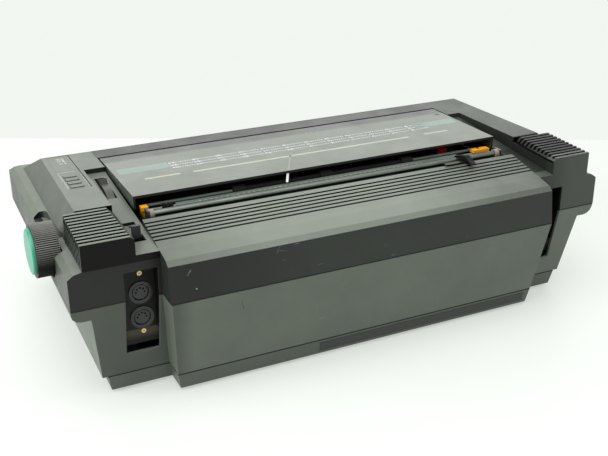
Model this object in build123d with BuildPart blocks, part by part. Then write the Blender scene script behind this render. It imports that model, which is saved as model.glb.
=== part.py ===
from build123d import *
from math import atan2, cos, degrees, hypot, pi, radians, sin, sqrt, tan
import os

os.makedirs("parts", exist_ok=True)

# All lengths are millimetres. +X is the operator's right, where the platen knob is,
# -Y is the front, +Y the rear, +Z up. The part stands on z = 0, and the origin is
# under the middle of its whole length and depth.

# Overall
depth = 300.0                # front wall to the rear seam
box_width = 370.0            # rear box that stands out between the two side modules
right_module_width = 74.0    # rear box's side to the right side wall, at the rear
left_module_width = 68.0     # the same on the left
side_splay = 6.0             # how much nearer each side wall stands at the front
knob_stand_out = 12.0        # knob face beyond the right side wall's rear end
cap_crown = 3.0              # the knob's cap stands out of the knob
top_z = 148.0                # flat top plates and lid
shoulder_z = 123.0           # inner edge of the shoulder round the upper housing
side_edge_z = 118.0          # outer edge of that shoulder
seam_z = 91.0                # seam between upper housing and lower shell
lip_z = 79.5                 # underside of the lower shell's side bulges
base_z = 18.0                # seam between lower shell and base tray
foot_height = 3.0
wall = 2.5                   # shells
overrun = 1.0                # how far cuts pass the faces they leave
seam_gap = 0.3               # gap between covers that part
fit_gap = 0.4                # gap round pieces that seat in an opening
touch = 0.05                 # running clearance of a shaft in its bore

# Upper housing
band_lean = 4.1              # rear band leans out from its top edge to the seam
rear_edge_z = 121.6          # top rear edge of the rear box
bevel_run = 4.5              # steep bevel before that edge
bevel_drop = 3.7
deck_front_y_back = 67.0     # deck's front edge, before the rear seam
deck_front_z = 138.2
ear_step = 22.6              # side modules end this far before the rear seam
shoulder_run = 12.0          # side wall to the foot of the sloping facet
shoulder_bend_run = 5.0      # where the shoulder bends down to its outer edge
shoulder_bend_z = 121.5
facet_run = 10.0             # foot of the facet to the top plate
front_lean = 1.0             # front face above the seam
front_shoulder_run = 3.5
front_bend_z = 122.2         # the front shoulder's bend, and its nearly flat run
front_flat_run = 12.0
slope_run = 53.5             # sloping front, from its shoulder to the top plate
right_channel_width = 19.5
left_channel_width = 15.0
channel_front_back = 49.7    # channel's front end, behind the top plate's front edge
channel_front_drop = 4.5     # step down there
channel_rear_z = 128.7       # channel floor at the rear of the side modules
rim_width = 2.0              # rim that hangs round the well
rim_drop = 12.0

# Vent blocks at the rear of the side modules
fin_count = 11
block_length = 63.0          # along Y
block_fall = 3.2             # block top falls this much to the rear
block_inset = 11.8           # side wall to the block's outer side
fin_share = 0.5              # fin thickness over fin pitch
groove_depth = 4.0
fin_rim = 1.5                # uncut edge at the fins' inner ends
block_shoulder = 6.0         # the fins' bend at their inner ends

cap_thick = 0.6              # black cap on the right block's rear

# Deck grooves
groove_count = 6
deck_groove_pitch = 4.9
deck_groove_width = 2.0
deck_groove_depth = 1.6
deck_groove_start = 5.0      # first groove behind the deck's front edge

# Lower shell and base tray
panel_lean = 15.0            # rear and front panels lean in from the seam to the base
panel_taper = 6.0            # the same at the sides of the rear box
ear_side_inset = 15.8        # side wall to the lower shell's side, under the bulge
ear_taper = 6.5              # lean of that side
base_side_inset = 4.7        # base tray's step in from the shell
base_lean = 2.8
base_taper = 2.5
lip_round = 8.0              # rounded corner under the side bulge
foot_radius = 9.0
foot_margin = 32.0           # foot centre from the base tray's edges

# Connector windows in the side modules' rear walls
window_width = 28.0
left_window_width = 25.0
window_low_z = 37.7
tray_rise = 6.5              # window's lower edge to the tray's
window_high_z = 115.0
window_edge = 2.5            # rear box side to window
window_depth = 13.0          # rear wall to the connector panel
tray_wall = 1.5

# Lid
lid_rear_back = 96.3         # lid's rear edge before the rear seam
lid_thick = 2.4
lid_skirt = 12.0             # depth of the lid's side walls at the rear
lid_skirt_front = 4.0
lid_skirt_wall = 2.0
lid_gap = 1.5                # lid side to the well's side
hinge_radius = 3.0           # rounded front edge of the lid, round the hinge line
hinge_pin_radius = 1.5
hinge_pin_length = 3.0       # beyond the lid's side
fascia_depth = 22.0          # fixed strip in front of the lid
fascia_margin = 1.5          # its front edge behind the top plate's
fascia_thick = 1.2

# Control panel, keys and lamps
panel_front_gap = 1.0
panel_thick = 1.2
panel_length = 92.0
panel_width = 20.4
panel_inner_gap = 3.1        # channel to the panel's seat
panel_groove = 0.8           # gap at the panel's inner and front edges
key_count = 4
key_width = 11.5             # along X
key_offset = 12.0            # seat's inner edge to the keys' centres
key_length = 5.2             # along Y
key_pitch = 9.2
key_first = 60.0             # first key behind the seat's front edge
key_height = 3.0
key_rise = 0.8
key_round = 0.5
lamp_radius = 1.2
lamp_gap = 3.2               # lamp's centre from the key's end

# Side frames and platen
frame_inset = 7.0            # rear box side to the frame's outer face
frame_thick = 2.0
frame_top_z = 128.0
frame_slope = 20.0           # cut corner at the frame's front
frame_ear = 4.5              # ear round the rod, each way from its axis
frame_foot = 12.0            # folded foot's width
frame_front_y_back = 225.0   # frame's front edge before the rear seam
frame_length = 170.0
platen_y_back = 94.0         # platen axis before the rear seam
platen_z = 116.3
platen_radius = 16.0
platen_chamfer = 1.0
platen_end_gap = 8.0         # frame to the platen's end
shaft_radius = 4.0
bush_radius = 6.5
bush_flange = 8.0
bush_flange_thick = 1.5
knob_radius = 22.5
knob_width = 19.0
knob_ridges = 80
knob_ridge_depth = 0.5
knob_wall = 3.0
cap_depth = 5.0              # how deep the cap seats in the knob
cap_edge = 1.8               # rounding of the cap's edge
knob_recess_gap = 1.8        # radial room round the knob
knob_face_gap = 1.4          # recess floor to the knob
knob_recess_forward = 8.0    # the recess reaches this much further forward
finger_slot_front = 70.0     # deeper slot in the shoulder, from here to there before the axis
finger_slot_rear = 3.0
finger_slot_round = 6.5      # its round front end
hub_radius = 9.0
hub_length = 0.8
hub_hole_gap = 0.5           # round the shaft, in the recess floor

# Line feed gears
gear_module = 1.0
platen_gear_teeth = 28
idler_teeth = 28
pinion_teeth = 12
gear_width = 5.0
gear_frame_gap = 1.0
mesh_gap = 0.2               # added to each centre distance
root_share = 0.62            # tooth thickness over pitch, at its root
tip_share = 0.20             # the same at its tip
gear_root = 1.25             # root depth over the module
idler_angle = -70.0          # direction of the idler from the platen axis
pinion_angle = -70.0         # direction of the pinion from the idler
stud_radius = 3.0
feed_motor_radius = 20.0
feed_motor_length = 32.0
motor_shaft_radius = 2.0

# Paper path
pan_gap = 2.2                # platen to paper pan
pan_thick = 1.0
pan_start_angle = 208.0      # front end of the pan, round the platen axis
pan_sweep_angle = 147.0
pinch_radius = 5.0
pinch_length = 40.0
pinch_count = 3
pinch_pitch = 100.0
pinch_shaft_radius = 2.0
pinch_angle = 38.0           # either side of straight down
pinch_gap = 0.4
cheek_thick = 3.0            # cheeks that carry the pinch rollers' shafts
cheek_gap = 2.0
cheek_radius = 4.0
pan_window_gap = 1.2
pinch_bar_drop = 2.0         # rollers to the pinch frame's plate
pinch_bar_thick = 3.0
post_spread = 65.0           # guide posts either side of the middle
guide_post_radius = 3.0
bail_ahead = 0.5             # bail bar behind the platen axis
bail_gap = 0.6
bail_width = 7.0
bail_thick = 3.0
bail_pivot_back = 24.0       # bail pivot before the platen axis
bail_pivot_drop = 8.0
bail_arm_width = 7.0
bail_arm_thick = 2.5
bail_arm_gap = 1.0           # arm to the side frame
bail_tip_height = 3.0
bail_tip_width = 5.0
bail_tip_out = 3.5           # the right tip beyond its arm's outer face
bail_fork_width = 16.0       # the left tip is forked
bail_fork_in = 2.0           # and stays this far inside its arm's face
bail_fork_gap = 4.0
bail_rod_radius = 1.3        # bare rod beyond the flat bar's ends
bail_rod_right = 25.5
bail_rod_left = 32.5
bail_pin_radius = 2.0
bail_roller_radius = 4.5
bail_roller_length = 12.0
bail_roller_gap = 0.5        # roller to the bail bar
bail_roller_shares = (-0.5, 0.0, 0.5)
bail_shaft_radius = 1.5
bail_sleeve_radius = 2.5
rod_radius = 3.0
rod_y_ahead = 15.0           # guide rod behind the platen axis
rod_z_up = 20.5
rod_bush_radius = 4.5
rod_bush_length = 4.0
guide_width = 6.0
guide_height = 6.0
guide_blade = 12.0
guide_boss_radius = 4.8
guide_blade_gap = 0.6
guide_strip = 24.0           # strip that points to the right from the guide
guide_strip_width = 5.0
guide_x_share = 0.715        # guide's place over the rod's left half

# Carriage
rail_radius = 5.0
front_rail_back = 78.0       # rails before the platen axis
rear_rail_back = 38.0
rail_z = 56.0
carriage_width = 64.0
carriage_start = 50.0        # carriage centre from the left frame
carriage_floor = 4.0
carriage_height = 44.0
carriage_wall = 3.0
rail_boss = 9.0
wheel_radius = 38.0
wheel_thick = 0.8
wheel_gap = 5.5              # wheel before the platen's face
wheel_petals = 48
petal_share = 0.55
petal_head = 2.4
wheel_hub_radius = 12.0
wheel_hub_thick = 4.0
wheel_print_radius = 35.0
wheel_motor_radius = 15.0
wheel_motor_length = 27.0
wheel_motor_gap = 2.0
hammer_width = 14.0
hammer_height = 12.0
hammer_leg = 5.0
hammer_nose = 2.0            # how far the pin stands out of the hammer unit
hammer_gap = 1.5
hammer_radius = 2.0
hammer_travel = 1.2
hammer_pin_length = 44.0
ribbon_width = 90.0
ribbon_height = 14.0
ribbon_window = 20.0         # slot between the cartridge's halves, round the hammer
ribbon_bridge = 12.0
ribbon_wheel_gap = 1.7
ribbon_arm = 5.0
ribbon_thick = 0.3
ribbon_strip_back = 2.2      # ribbon before the platen's face
ribbon_arm_drop = 6.3        # lower edge of the arms under the platen axis
red_lever_offset = 12.0
red_lever_back = 36.0        # its pin before the platen axis
lever_pin_radius = 1.5
lever_width = 9.0
lever_length = 14.0
lever_height = 13.5          # upright grip
lever_plate_height = 3.5
belt_width = 5.0
belt_thick = 1.4
belt_gap = 0.3               # pulley to the belt
clamp_gap = 0.4
clamp_thick = 2.0
clamp_half = 8.0
belt_back = 58.0             # belt before the platen axis
pulley_radius = 8.0
pulley_width = 7.0
pulley_inset = 19.0          # pulley axis to the frame's inner face
belt_z = 47.0
carriage_motor_radius = 17.0
carriage_motor_length = 24.0

# Levers in the right channel
lever_blade = 3.0
impression_front = 12.0      # pocket of the impression lever, behind the channel's front
impression_length = 44.0
impression_pocket = 9.0
impression_rise = 2.4        # arc rib above the channel floor
impression_rib = 38.0        # the rib's length
impression_rib_depth = 8.0
impression_paddle = 12.0     # paddle's length along the arc
impression_lean = 20.0       # paddle's lean to the front
impression_paddle_rise = 7.0
impression_offset = 9.0      # pocket's centre from the well's side
release_rear = 20.0          # pocket of the release lever, before the module's rear
release_length = 34.0
release_pocket = 12.0
release_rise = 1.5           # plate above the channel floor
release_plate = 22.0         # the plate's length
release_hole_radius = 1.5
release_hole_back = 3.5      # hole behind the plate's front edge
release_tab_height = 8.0
release_tab_width = 7.0
release_tab_thick = 3.0
release_offset = 10.5
lever_drop = 30.0            # lever pivots under the channel floor
lever_pin = 2.5
lever_plate = 3.0            # thickness of the levers' plates
pocket_gap = 1.2

# Electrics
din_radius = 9.8
din_bore_radius = 7.4        # inside of the socket's metal ring
din_groove_depth = 4.0       # groove between the ring and the contact block
din_pitch = 22.4
din_share = 0.44             # place of the sockets over the window's width
din_shell = 1.2
din_depth = 12.0
din_top_z = 89.8
din_pin_radius = 0.8
din_pin_circle = 3.7
din_pin_count = 5
screw_head_radius = 2.0
screw_head = 1.6
screw_bore_radius = 0.9
screw_gap_top = 5.6          # upper socket's rim to the upper screw's rim
screw_gap_low = 0.2
inlet_width = 22.0
inlet_height = 18.0
inlet_z = 64.0
inlet_depth = 18.0
inlet_pin = 2.0
switch_width = 14.0
switch_height = 20.0
switch_z = 96.0
switch_depth = 12.0
switch_rise = 2.0
board_width = 300.0
board_rear_gap = 29.0        # carriage motor to the board's rear edge
board_thick = 1.6
board_z = 29.0
board_front_back = 24.0      # board's front edge behind the shell's front wall
chip_height = 4.0
chip_count = 9
chip_length = 18.0
chip_depth = 10.0
post_radius = 3.0
transformer_width = 58.0
transformer_depth = 48.0
transformer_height = 46.0
transformer_inset = 56.0     # rear box side to the transformer
transformer_rear_gap = 10.0

# Rating plate
plate_left_share = -0.26     # places along the rear box, from its centre
plate_right_share = 0.96
plate_height = 9.0
plate_thick = 0.4

# Places that follow from the sizes above
y_rear = depth / 2
y_front = -depth / 2
box_half = box_width / 2
right_reach = box_half + right_module_width
left_reach = box_half + left_module_width
reach = right_reach + knob_stand_out + cap_crown
cx = (left_reach - reach) / 2                # rear box's centre line
y_ear = y_rear - ear_step
front_bend_y = y_front + front_lean + front_shoulder_run
top_front_y = front_bend_y + front_flat_run + slope_run
deck_front_y = y_rear - deck_front_y_back
rear_edge_y = y_rear - band_lean
crease_y = rear_edge_y - bevel_run
crease_z = rear_edge_z + bevel_drop
channel_front_y = top_front_y + channel_front_back
channel_front_z = top_z - channel_front_drop
platen_y = y_rear - platen_y_back
frame_x_right = cx + box_half - frame_inset
frame_x_left = cx - box_half + frame_inset
platen_left = frame_x_left + frame_thick + platen_end_gap
platen_right = frame_x_right - frame_thick - platen_end_gap
lid_rear_y = y_rear - lid_rear_back
face_y = platen_y - platen_radius            # platen's face towards the printing


def wall_x(side, y, inset=0):
    """X of a side wall at y, or of a line that far inside it; side is 1 or -1"""
    reach_here = right_reach if side > 0 else left_reach
    share = (y_ear - y) / (y_ear - y_front)
    return cx + side * (reach_here - inset - side_splay * share)


def channel_z(y):
    """Channel floor, which falls to the rear"""
    share = (y - channel_front_y) / (y_ear - channel_front_y)
    return channel_front_z + (channel_rear_z - channel_front_z) * share


def deck_z(y):
    """Top of the deck, which falls to its crease"""
    share = (y - deck_front_y) / (crease_y - deck_front_y)
    return deck_front_z + (crease_z - deck_front_z) * share


def block_z(y):
    """Top of the vent blocks, which falls to the rear"""
    return top_z - block_fall * (y - (y_ear - block_length)) / block_length


def block(x0, x1, y0, y1, z0, z1, mode=Mode.ADD):
    """Box between two corners"""
    with Locations(((x0 + x1) / 2, (y0 + y1) / 2, (z0 + z1) / 2)):
        Box(abs(x1 - x0), abs(y1 - y0), abs(z1 - z0), mode=mode)


def prism_x(points, x0, x1, mode=Mode.ADD):
    """(y, z) outline carried from x0 to x1"""
    with BuildSketch(Plane.YZ.offset(x0)) as face:
        with BuildLine():
            Polyline(*points, close=True)
        make_face()
    extrude(face.sketch, amount=x1 - x0, mode=mode)


def prism_y(points, y0, y1, mode=Mode.ADD):
    """(x, z) outline carried from y0 to y1"""
    with BuildSketch(Plane.XZ.offset(-y0)) as face:
        with BuildLine():
            Polyline(*points, close=True)
        make_face()
    extrude(face.sketch, amount=y0 - y1, mode=mode)


def prism_z(points, z0, z1, mode=Mode.ADD):
    """(x, y) outline carried from z0 to z1"""
    with BuildSketch(Plane.XY.offset(z0)) as face:
        with BuildLine():
            Polyline(*points, close=True)
        make_face()
    extrude(face.sketch, amount=z1 - z0, mode=mode)


def rod_x(y, z, radius, x0, x1, mode=Mode.ADD):
    """Round bar along X"""
    with BuildSketch(Plane.YZ.offset(x0)) as disc:
        with Locations((y, z)):
            Circle(radius)
    extrude(disc.sketch, amount=x1 - x0, mode=mode)


def rod_y(x, z, radius, y0, y1, mode=Mode.ADD):
    """Round bar along Y"""
    with BuildSketch(Plane.XZ.offset(-y0)) as disc:
        with Locations((x, z)):
            Circle(radius)
    extrude(disc.sketch, amount=y0 - y1, mode=mode)


def rod_z(x, y, radius, z0, z1, mode=Mode.ADD):
    """Round bar along Z"""
    with BuildSketch(Plane.XY.offset(z0)) as disc:
        with Locations((x, y)):
            Circle(radius)
    extrude(disc.sketch, amount=z1 - z0, mode=mode)


def side_prism(side, offsets, y0, y1, mode=Mode.ADD):
    """(inset, z) outline that follows a splayed side wall from y0 to y1"""
    with BuildSketch(Plane.XZ.offset(-y0)) as face:
        with BuildLine():
            Polyline(*[(wall_x(side, y0, inset), z) for inset, z in offsets], close=True)
        make_face()
    shift = wall_x(side, y1) - wall_x(side, y0)
    run = Vector(shift, y1 - y0, 0)
    extrude(face.sketch, amount=run.length, dir=run, mode=mode)


def write(piece, name):
    """Label a finished piece and write its STEP file"""
    piece.label = name
    export_step(piece, f"parts/{name}.step")


# Upper housing
facet_inset = shoulder_run + facet_run
side_middle = box_half / 2


def channel(side):
    """Inner and outer x of a channel"""
    width = right_channel_width if side > 0 else left_channel_width
    return cx + side * box_half, cx + side * (box_half + width)


def upper_form(t):
    """Upper housing's solid form, with every wall drawn in by t"""
    low = seam_z - (overrun if t else 0)
    with BuildPart() as form:
        for side in (1, -1):
            reach_here = right_reach if side > 0 else left_reach
            side_prism(side, [(t, low), (t, side_edge_z - t / 2),
                              (shoulder_bend_run + t / 2, shoulder_bend_z - t),
                              (shoulder_run + t / 2, shoulder_z - t),
                              (facet_inset + t, top_z - t),
                              (reach_here - side_middle / 2, top_z - t),
                              (reach_here - side_middle / 2, low)], y_front, y_ear)
        block(cx - side_middle, cx + side_middle, y_front, y_ear, low, top_z - t)
        tall = top_z + overrun - t
        for side in (1, -1):
            side_prism(side, [(block_inset + t, shoulder_z - side_edge_z + seam_z),
                              (block_inset + t, tall), (facet_inset + block_inset, tall),
                              (facet_inset + block_inset, shoulder_z - side_edge_z + seam_z)],
                       y_ear - block_length + t, y_ear)
        prism_x([(y_front + t, low), (y_front + front_lean + t, side_edge_z - t / 2),
                 (front_bend_y + t / 2, front_bend_z - t),
                 (front_bend_y + front_flat_run + t / 2, shoulder_z - t),
                 (top_front_y + t / 2, top_z - t), (y_ear - block_length, top_z - t),
                 (y_ear - t, block_z(y_ear) - t), (y_ear - t, low)],
                cx - left_reach - overrun, cx + right_reach + overrun, mode=Mode.INTERSECT)
        for side in (1, -1):
            inner, outer = channel(side)
            prism_x([(channel_front_y - t, channel_z(channel_front_y) - t),
                     (channel_front_y - t, top_z + overrun), (y_ear + overrun, top_z + overrun),
                     (y_ear + overrun, channel_z(y_ear + overrun) - t)],
                    min(inner, outer + side * t), max(inner, outer + side * t),
                    mode=Mode.SUBTRACT)
        prism_x([(lid_rear_y, deck_z(lid_rear_y) - t), (lid_rear_y, top_z + overrun),
                 (y_ear + overrun, top_z + overrun), (y_ear + overrun, deck_z(y_ear + overrun) - t)],
                cx - box_half - overrun, cx + box_half + overrun, mode=Mode.SUBTRACT)
        prism_x([(lid_rear_y, low), (lid_rear_y, deck_z(lid_rear_y) - t), (crease_y - t / 2, crease_z - t),
                 (rear_edge_y - t, rear_edge_z - t / 2), (y_rear - t, low)],
                cx - box_half + t, cx + box_half - t)
    return form.part


well_front_y = top_front_y + fascia_depth + seam_gap
hinge_y = well_front_y + seam_gap + hinge_radius
hinge_z = top_z - hinge_radius
panel_y0 = top_front_y + panel_front_gap
panel_in_x = cx + box_half + right_channel_width + panel_inner_gap
lever_pockets = []
for x_offset, y0, y1, width in (
        (impression_offset, channel_front_y + impression_front,
         channel_front_y + impression_front + impression_length, impression_pocket),
        (release_offset, y_ear - release_rear - release_length, y_ear - release_rear, release_pocket)):
    lever_pockets.append((cx + box_half + x_offset, y0, y1, width / 2))


def panel_outline(groove, gap):
    """Control panel seen from above, drawn in at its inner and front edges and at the others"""
    y0 = panel_y0 + groove
    y1 = panel_y0 + panel_length - gap
    x0 = panel_in_x + groove
    x1 = panel_in_x + panel_width - gap
    return [(x0, y0), (x1, y0), (x1, y1), (x0, y1)]


def key_place(i):
    """Centre of a key"""
    return panel_in_x + key_offset, panel_y0 + key_first + key_pitch * i


knob_axis_y = platen_y
recess_radius = knob_radius + knob_recess_gap
knob_face_x = cx + right_reach + knob_stand_out
knob_back_x = knob_face_x - knob_width
recess_floor_x = knob_back_x - knob_face_gap
slot_y0 = knob_axis_y - finger_slot_front
slot_y1 = knob_axis_y - finger_slot_rear
slot_floor_x = wall_x(1, (slot_y0 + slot_y1) / 2, shoulder_run)
fin_pitch = block_length / fin_count
groove_width = fin_pitch * (1 - fin_share)
window_in_x = box_half + window_edge


def window_x(side, share):
    """Place across a window, 0 at the rear box and 1 at its outer edge"""
    return cx + side * (window_in_x + (window_width if side > 0 else left_window_width) * share)


def groove_outline(side, y):
    """(x, z) outline of the cut between two fins at y"""
    top = block_z(y)
    out_x = wall_x(side, y, block_inset)
    in_x = channel(side)[1]
    rim_x = in_x + side * fin_rim
    far = 4 * side * overrun
    return [(out_x + far, shoulder_z + overrun), (out_x + far, top + 4 * overrun),
            (rim_x, top + 4 * overrun), (rim_x, top - block_shoulder - groove_depth),
            (in_x + side * groove_depth / 2, top - block_shoulder - groove_depth),
            (in_x + side * (block_shoulder + groove_depth / 2), top - groove_depth),
            (out_x - side * groove_depth, top - groove_depth),
            (out_x - side * groove_depth, shoulder_z + overrun)]


def knob_recess(radius, x0, mode):
    """Round pocket behind the knob, drawn out towards the front"""
    with BuildSketch(Plane.YZ.offset(x0)) as pocket:
        with Locations((knob_axis_y, platen_z)):
            Circle(radius)
        with Locations((knob_axis_y - knob_recess_forward, platen_z)):
            Circle(radius)
        with Locations((knob_axis_y - knob_recess_forward / 2, platen_z)):
            Rectangle(knob_recess_forward, 2 * radius)
    extrude(pocket.sketch, amount=reach, mode=mode)


def finger_slot(margin, mode):
    """Deeper slot in the shoulder ahead of the knob, with a round front end"""
    low = platen_z - margin
    round_x = slot_floor_x + finger_slot_round
    round_y = slot_y0 + finger_slot_round
    rod_z(round_x, round_y, finger_slot_round + margin, low, top_z, mode=mode)
    block(slot_floor_x - margin, cx + reach, round_y, slot_y1 + margin, low, top_z, mode=mode)


with BuildPart() as recess_cup:
    knob_recess(recess_radius + wall, recess_floor_x - wall, Mode.ADD)
    finger_slot(wall, Mode.ADD)
    add(upper_form(0), mode=Mode.INTERSECT)

with BuildPart() as upper_housing:
    add(upper_form(0))
    add(upper_form(wall), mode=Mode.SUBTRACT)
    roof = groove_depth + wall
    low_z = shoulder_z - wall
    for side in (1, -1):
        outer = channel(side)[1]
        # Roof and side of the vent block, thick enough to carry its grooves
        side_prism(side, [(block_inset, low_z), (block_inset, block_z(y_ear)),
                          (facet_inset + facet_run, block_z(y_ear)),
                          (facet_inset + facet_run, block_z(y_ear) - roof),
                          (block_inset + roof, block_z(y_ear) - roof), (block_inset + roof, low_z)],
                   y_ear - block_length, y_ear - wall / 2)
        block(outer, cx + side * (box_half + box_half / 4), y_ear - block_length, y_ear - wall / 2,
              block_z(y_ear) - roof, block_z(y_ear))
    add(recess_cup.part)
    knob_recess(recess_radius, recess_floor_x, Mode.SUBTRACT)
    finger_slot(0, Mode.SUBTRACT)
    rod_x(knob_axis_y, platen_z, shaft_radius + hub_hole_gap, recess_floor_x - shoulder_run,
          recess_floor_x + overrun, mode=Mode.SUBTRACT)
    # Well over the print works, with its rim
    for side in (1, -1):
        rim_in = cx + side * box_half
        rim_out = rim_in + side * rim_width
        y0 = channel_front_y
        y1 = deck_front_y
        prism_x([(well_front_y, top_z - wall / 2), (y0, top_z - wall / 2), (y0, channel_z(y0) - wall / 2),
                 (y1, channel_z(y1) - wall / 2), (y1, channel_z(y1) - rim_drop),
                 (y0, channel_z(y0) - rim_drop), (well_front_y, channel_z(y0) - rim_drop)],
                min(rim_in, rim_out), max(rim_in, rim_out))
    block(cx - box_half, cx + box_half, well_front_y, deck_front_y,
          seam_z - overrun, top_z + overrun, mode=Mode.SUBTRACT)
    block(cx - box_half, cx + box_half, top_front_y + fascia_margin, well_front_y + overrun,
          top_z - fascia_thick, top_z + overrun, mode=Mode.SUBTRACT)
    for side in (1, -1):
        rod_x(hinge_y, hinge_z, hinge_pin_radius + touch, cx + side * (box_half - overrun),
              cx + side * (box_half + rim_width + overrun), mode=Mode.SUBTRACT)
    # Seat of the control panel
    prism_z(panel_outline(0, 0), top_z - panel_thick, top_z + overrun, mode=Mode.SUBTRACT)
    for i in range(key_count):
        x, y = key_place(i)
        block(x - key_width / 2 - fit_gap, x + key_width / 2 + fit_gap, y - key_length / 2 - fit_gap,
              y + key_length / 2 + fit_gap, top_z - 2 * wall, top_z, mode=Mode.SUBTRACT)
    # Pockets of the two levers
    for x, y0, y1, half in lever_pockets:
        block(x - half, x + half, y0, y1, channel_z(y1) - 2 * wall, top_z, mode=Mode.SUBTRACT)
    top = block_z(y_ear - block_length)
    for side in (1, -1):
        outer = channel(side)[1]
        for i in range(fin_count):
            y = y_ear - block_length + fin_pitch * i
            prism_y(groove_outline(side, y), y, y + groove_width, mode=Mode.SUBTRACT)
        # Bend at the fins' inner ends
        prism_y([(outer - side * overrun, top - block_shoulder), (outer, top - block_shoulder),
                 (outer + side * block_shoulder, top), (outer + side * block_shoulder, top + overrun),
                 (outer - side * overrun, top + overrun)],
                y_ear - block_length, y_ear + overrun, mode=Mode.SUBTRACT)
    for i in range(groove_count):
        y = deck_front_y + deck_groove_start + deck_groove_pitch * i
        prism_x([(y, deck_z(y) + overrun), (y + deck_groove_width, deck_z(y + deck_groove_width) + overrun),
                 (y + deck_groove_width, deck_z(y + deck_groove_width) - deck_groove_depth),
                 (y, deck_z(y) - deck_groove_depth)],
                cx - box_half - overrun, cx + box_half + overrun, mode=Mode.SUBTRACT)
    for side in (1, -1):
        block(window_x(side, 0), window_x(side, 1), y_ear - 2 * wall, y_ear + overrun,
              seam_z - overrun, window_high_z, mode=Mode.SUBTRACT)
write(upper_housing.part, "upper_housing")


# Lower shell
def lower_form(t):
    """Lower shell's solid form, with every wall drawn in by t"""
    low = base_z - (overrun if t else 0)
    high = seam_z - seam_gap + (overrun if t else 0)
    rise = (high - low) / (seam_z - base_z)
    lean = panel_lean * rise
    with BuildPart() as box:
        prism_y([(cx - box_half + t, high), (cx + box_half - t, high),
                 (cx + box_half - panel_taper * rise - t, low),
                 (cx - box_half + panel_taper * rise + t, low)], platen_y, y_rear)
        prism_x([(platen_y, low), (platen_y, high), (y_rear - t, high), (y_rear - t - lean, low)],
                cx - box_half, cx + box_half, mode=Mode.INTERSECT)
    with BuildPart() as form:
        for side in (1, -1):
            far = (right_reach if side > 0 else left_reach) - side_middle / 2
            bend = [(t + lip_round * (1 - cos(radians(a))), lip_z + t + lip_round * (1 - sin(radians(a))))
                    for a in (0, 30, 60, 90)]
            side_prism(side, [(t, high), *bend, (ear_side_inset + t, lip_z + t),
                              (ear_side_inset + ear_taper + t, low), (far, low), (far, high)],
                       y_front, y_ear)
        block(cx - side_middle, cx + side_middle, y_front, y_ear, low, high)
        prism_x([(y_front + t, high), (y_front + t + lean, low), (y_ear - t - lean, low), (y_ear - t, high)],
                cx - left_reach - overrun, cx + right_reach + overrun, mode=Mode.INTERSECT)
        add(box.part)
    return form.part


with BuildPart() as lower_shell:
    add(lower_form(0))
    add(lower_form(wall), mode=Mode.SUBTRACT)
    for side in (1, -1):
        block(window_x(side, 0), window_x(side, 1), y_ear - panel_lean - 2 * wall,
              y_ear + overrun, window_low_z, seam_z + overrun, mode=Mode.SUBTRACT)
write(lower_shell.part, "lower_shell")


# Base tray and feet
def base_form(t, low):
    """Base tray's solid form, with every wall drawn in by t"""
    high = base_z - seam_gap + (overrun if t else 0)
    side_inset = ear_side_inset + ear_taper + base_side_inset
    with BuildPart() as box:
        half = box_half - panel_taper - t
        prism_y([(cx - half, high), (cx + half, high), (cx + half - base_taper, low),
                 (cx - half + base_taper, low)], platen_y, y_rear)
        prism_x([(platen_y, low), (platen_y, high), (y_rear - panel_lean - t, high),
                 (y_rear - panel_lean - base_lean - t, low)],
                cx - box_half, cx + box_half, mode=Mode.INTERSECT)
    with BuildPart() as form:
        for side in (1, -1):
            far = (right_reach if side > 0 else left_reach) - side_middle / 2
            side_prism(side, [(side_inset + t, high), (side_inset + base_lean + t, low), (far, low),
                              (far, high)], y_front, y_ear)
        block(cx - side_middle, cx + side_middle, y_front, y_ear, low, high)
        prism_x([(y_front + panel_lean + t, high), (y_front + panel_lean + base_lean + t, low),
                 (y_ear - panel_lean - base_lean - t, low), (y_ear - panel_lean - t, high)],
                cx - left_reach, cx + right_reach, mode=Mode.INTERSECT)
        add(box.part)
    return form.part


floor_z = foot_height + wall
base_side = ear_side_inset + ear_taper + base_side_inset + foot_margin
foot_places = []
for side in (1, -1):
    for y in (y_front + panel_lean + foot_margin, y_ear - panel_lean - foot_margin):
        foot_places.append((wall_x(side, y, base_side), y))
board_y0 = y_front + board_front_back
belt_y = platen_y - belt_back
board_y1 = belt_y - carriage_motor_radius - board_rear_gap
pulley_x0 = frame_x_left + frame_thick + pulley_inset
pulley_x1 = frame_x_right - frame_thick - pulley_inset
pulley_low = belt_z - pulley_width / 2
pinch_reach = platen_radius + pinch_radius + pinch_gap
pinch_z = platen_z - pinch_reach * cos(radians(pinch_angle))
pinch_bar_z = pinch_z - pinch_radius - pinch_bar_drop
with BuildPart() as base_tray:
    add(base_form(0, foot_height))
    add(base_form(wall, floor_z), mode=Mode.SUBTRACT)
    # Posts of the main board, of the pinch frame and of the idle pulley
    for x in (cx - board_width / 2 + 2 * post_radius, cx, cx + board_width / 2 - 2 * post_radius):
        for y in (board_y0 + 2 * post_radius, board_y1 - 2 * post_radius):
            rod_z(x, y, post_radius, floor_z - overrun, board_z)
    for x in (cx - post_spread, cx + post_spread):
        rod_z(x, platen_y, guide_post_radius, floor_z - overrun, pinch_bar_z + overrun)
    rod_z(pulley_x0, belt_y, post_radius, floor_z - overrun, belt_z + pulley_width / 2 + overrun)
    rod_z(pulley_x0, belt_y, 2 * post_radius, floor_z - overrun, pulley_low - fit_gap)
write(base_tray.part, "base_tray")

with BuildPart() as feet:
    with Locations(*[(x, y, foot_height / 2) for x, y in foot_places]):
        Cylinder(foot_radius, foot_height)
write(feet.part, "feet")

# Front fascia, lid and control panel
with BuildPart() as front_fascia:
    block(cx - box_half + seam_gap, cx + box_half - seam_gap, top_front_y + fascia_margin + seam_gap,
          well_front_y - seam_gap, top_z - fascia_thick, top_z)
write(front_fascia.part, "front_fascia")

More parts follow.
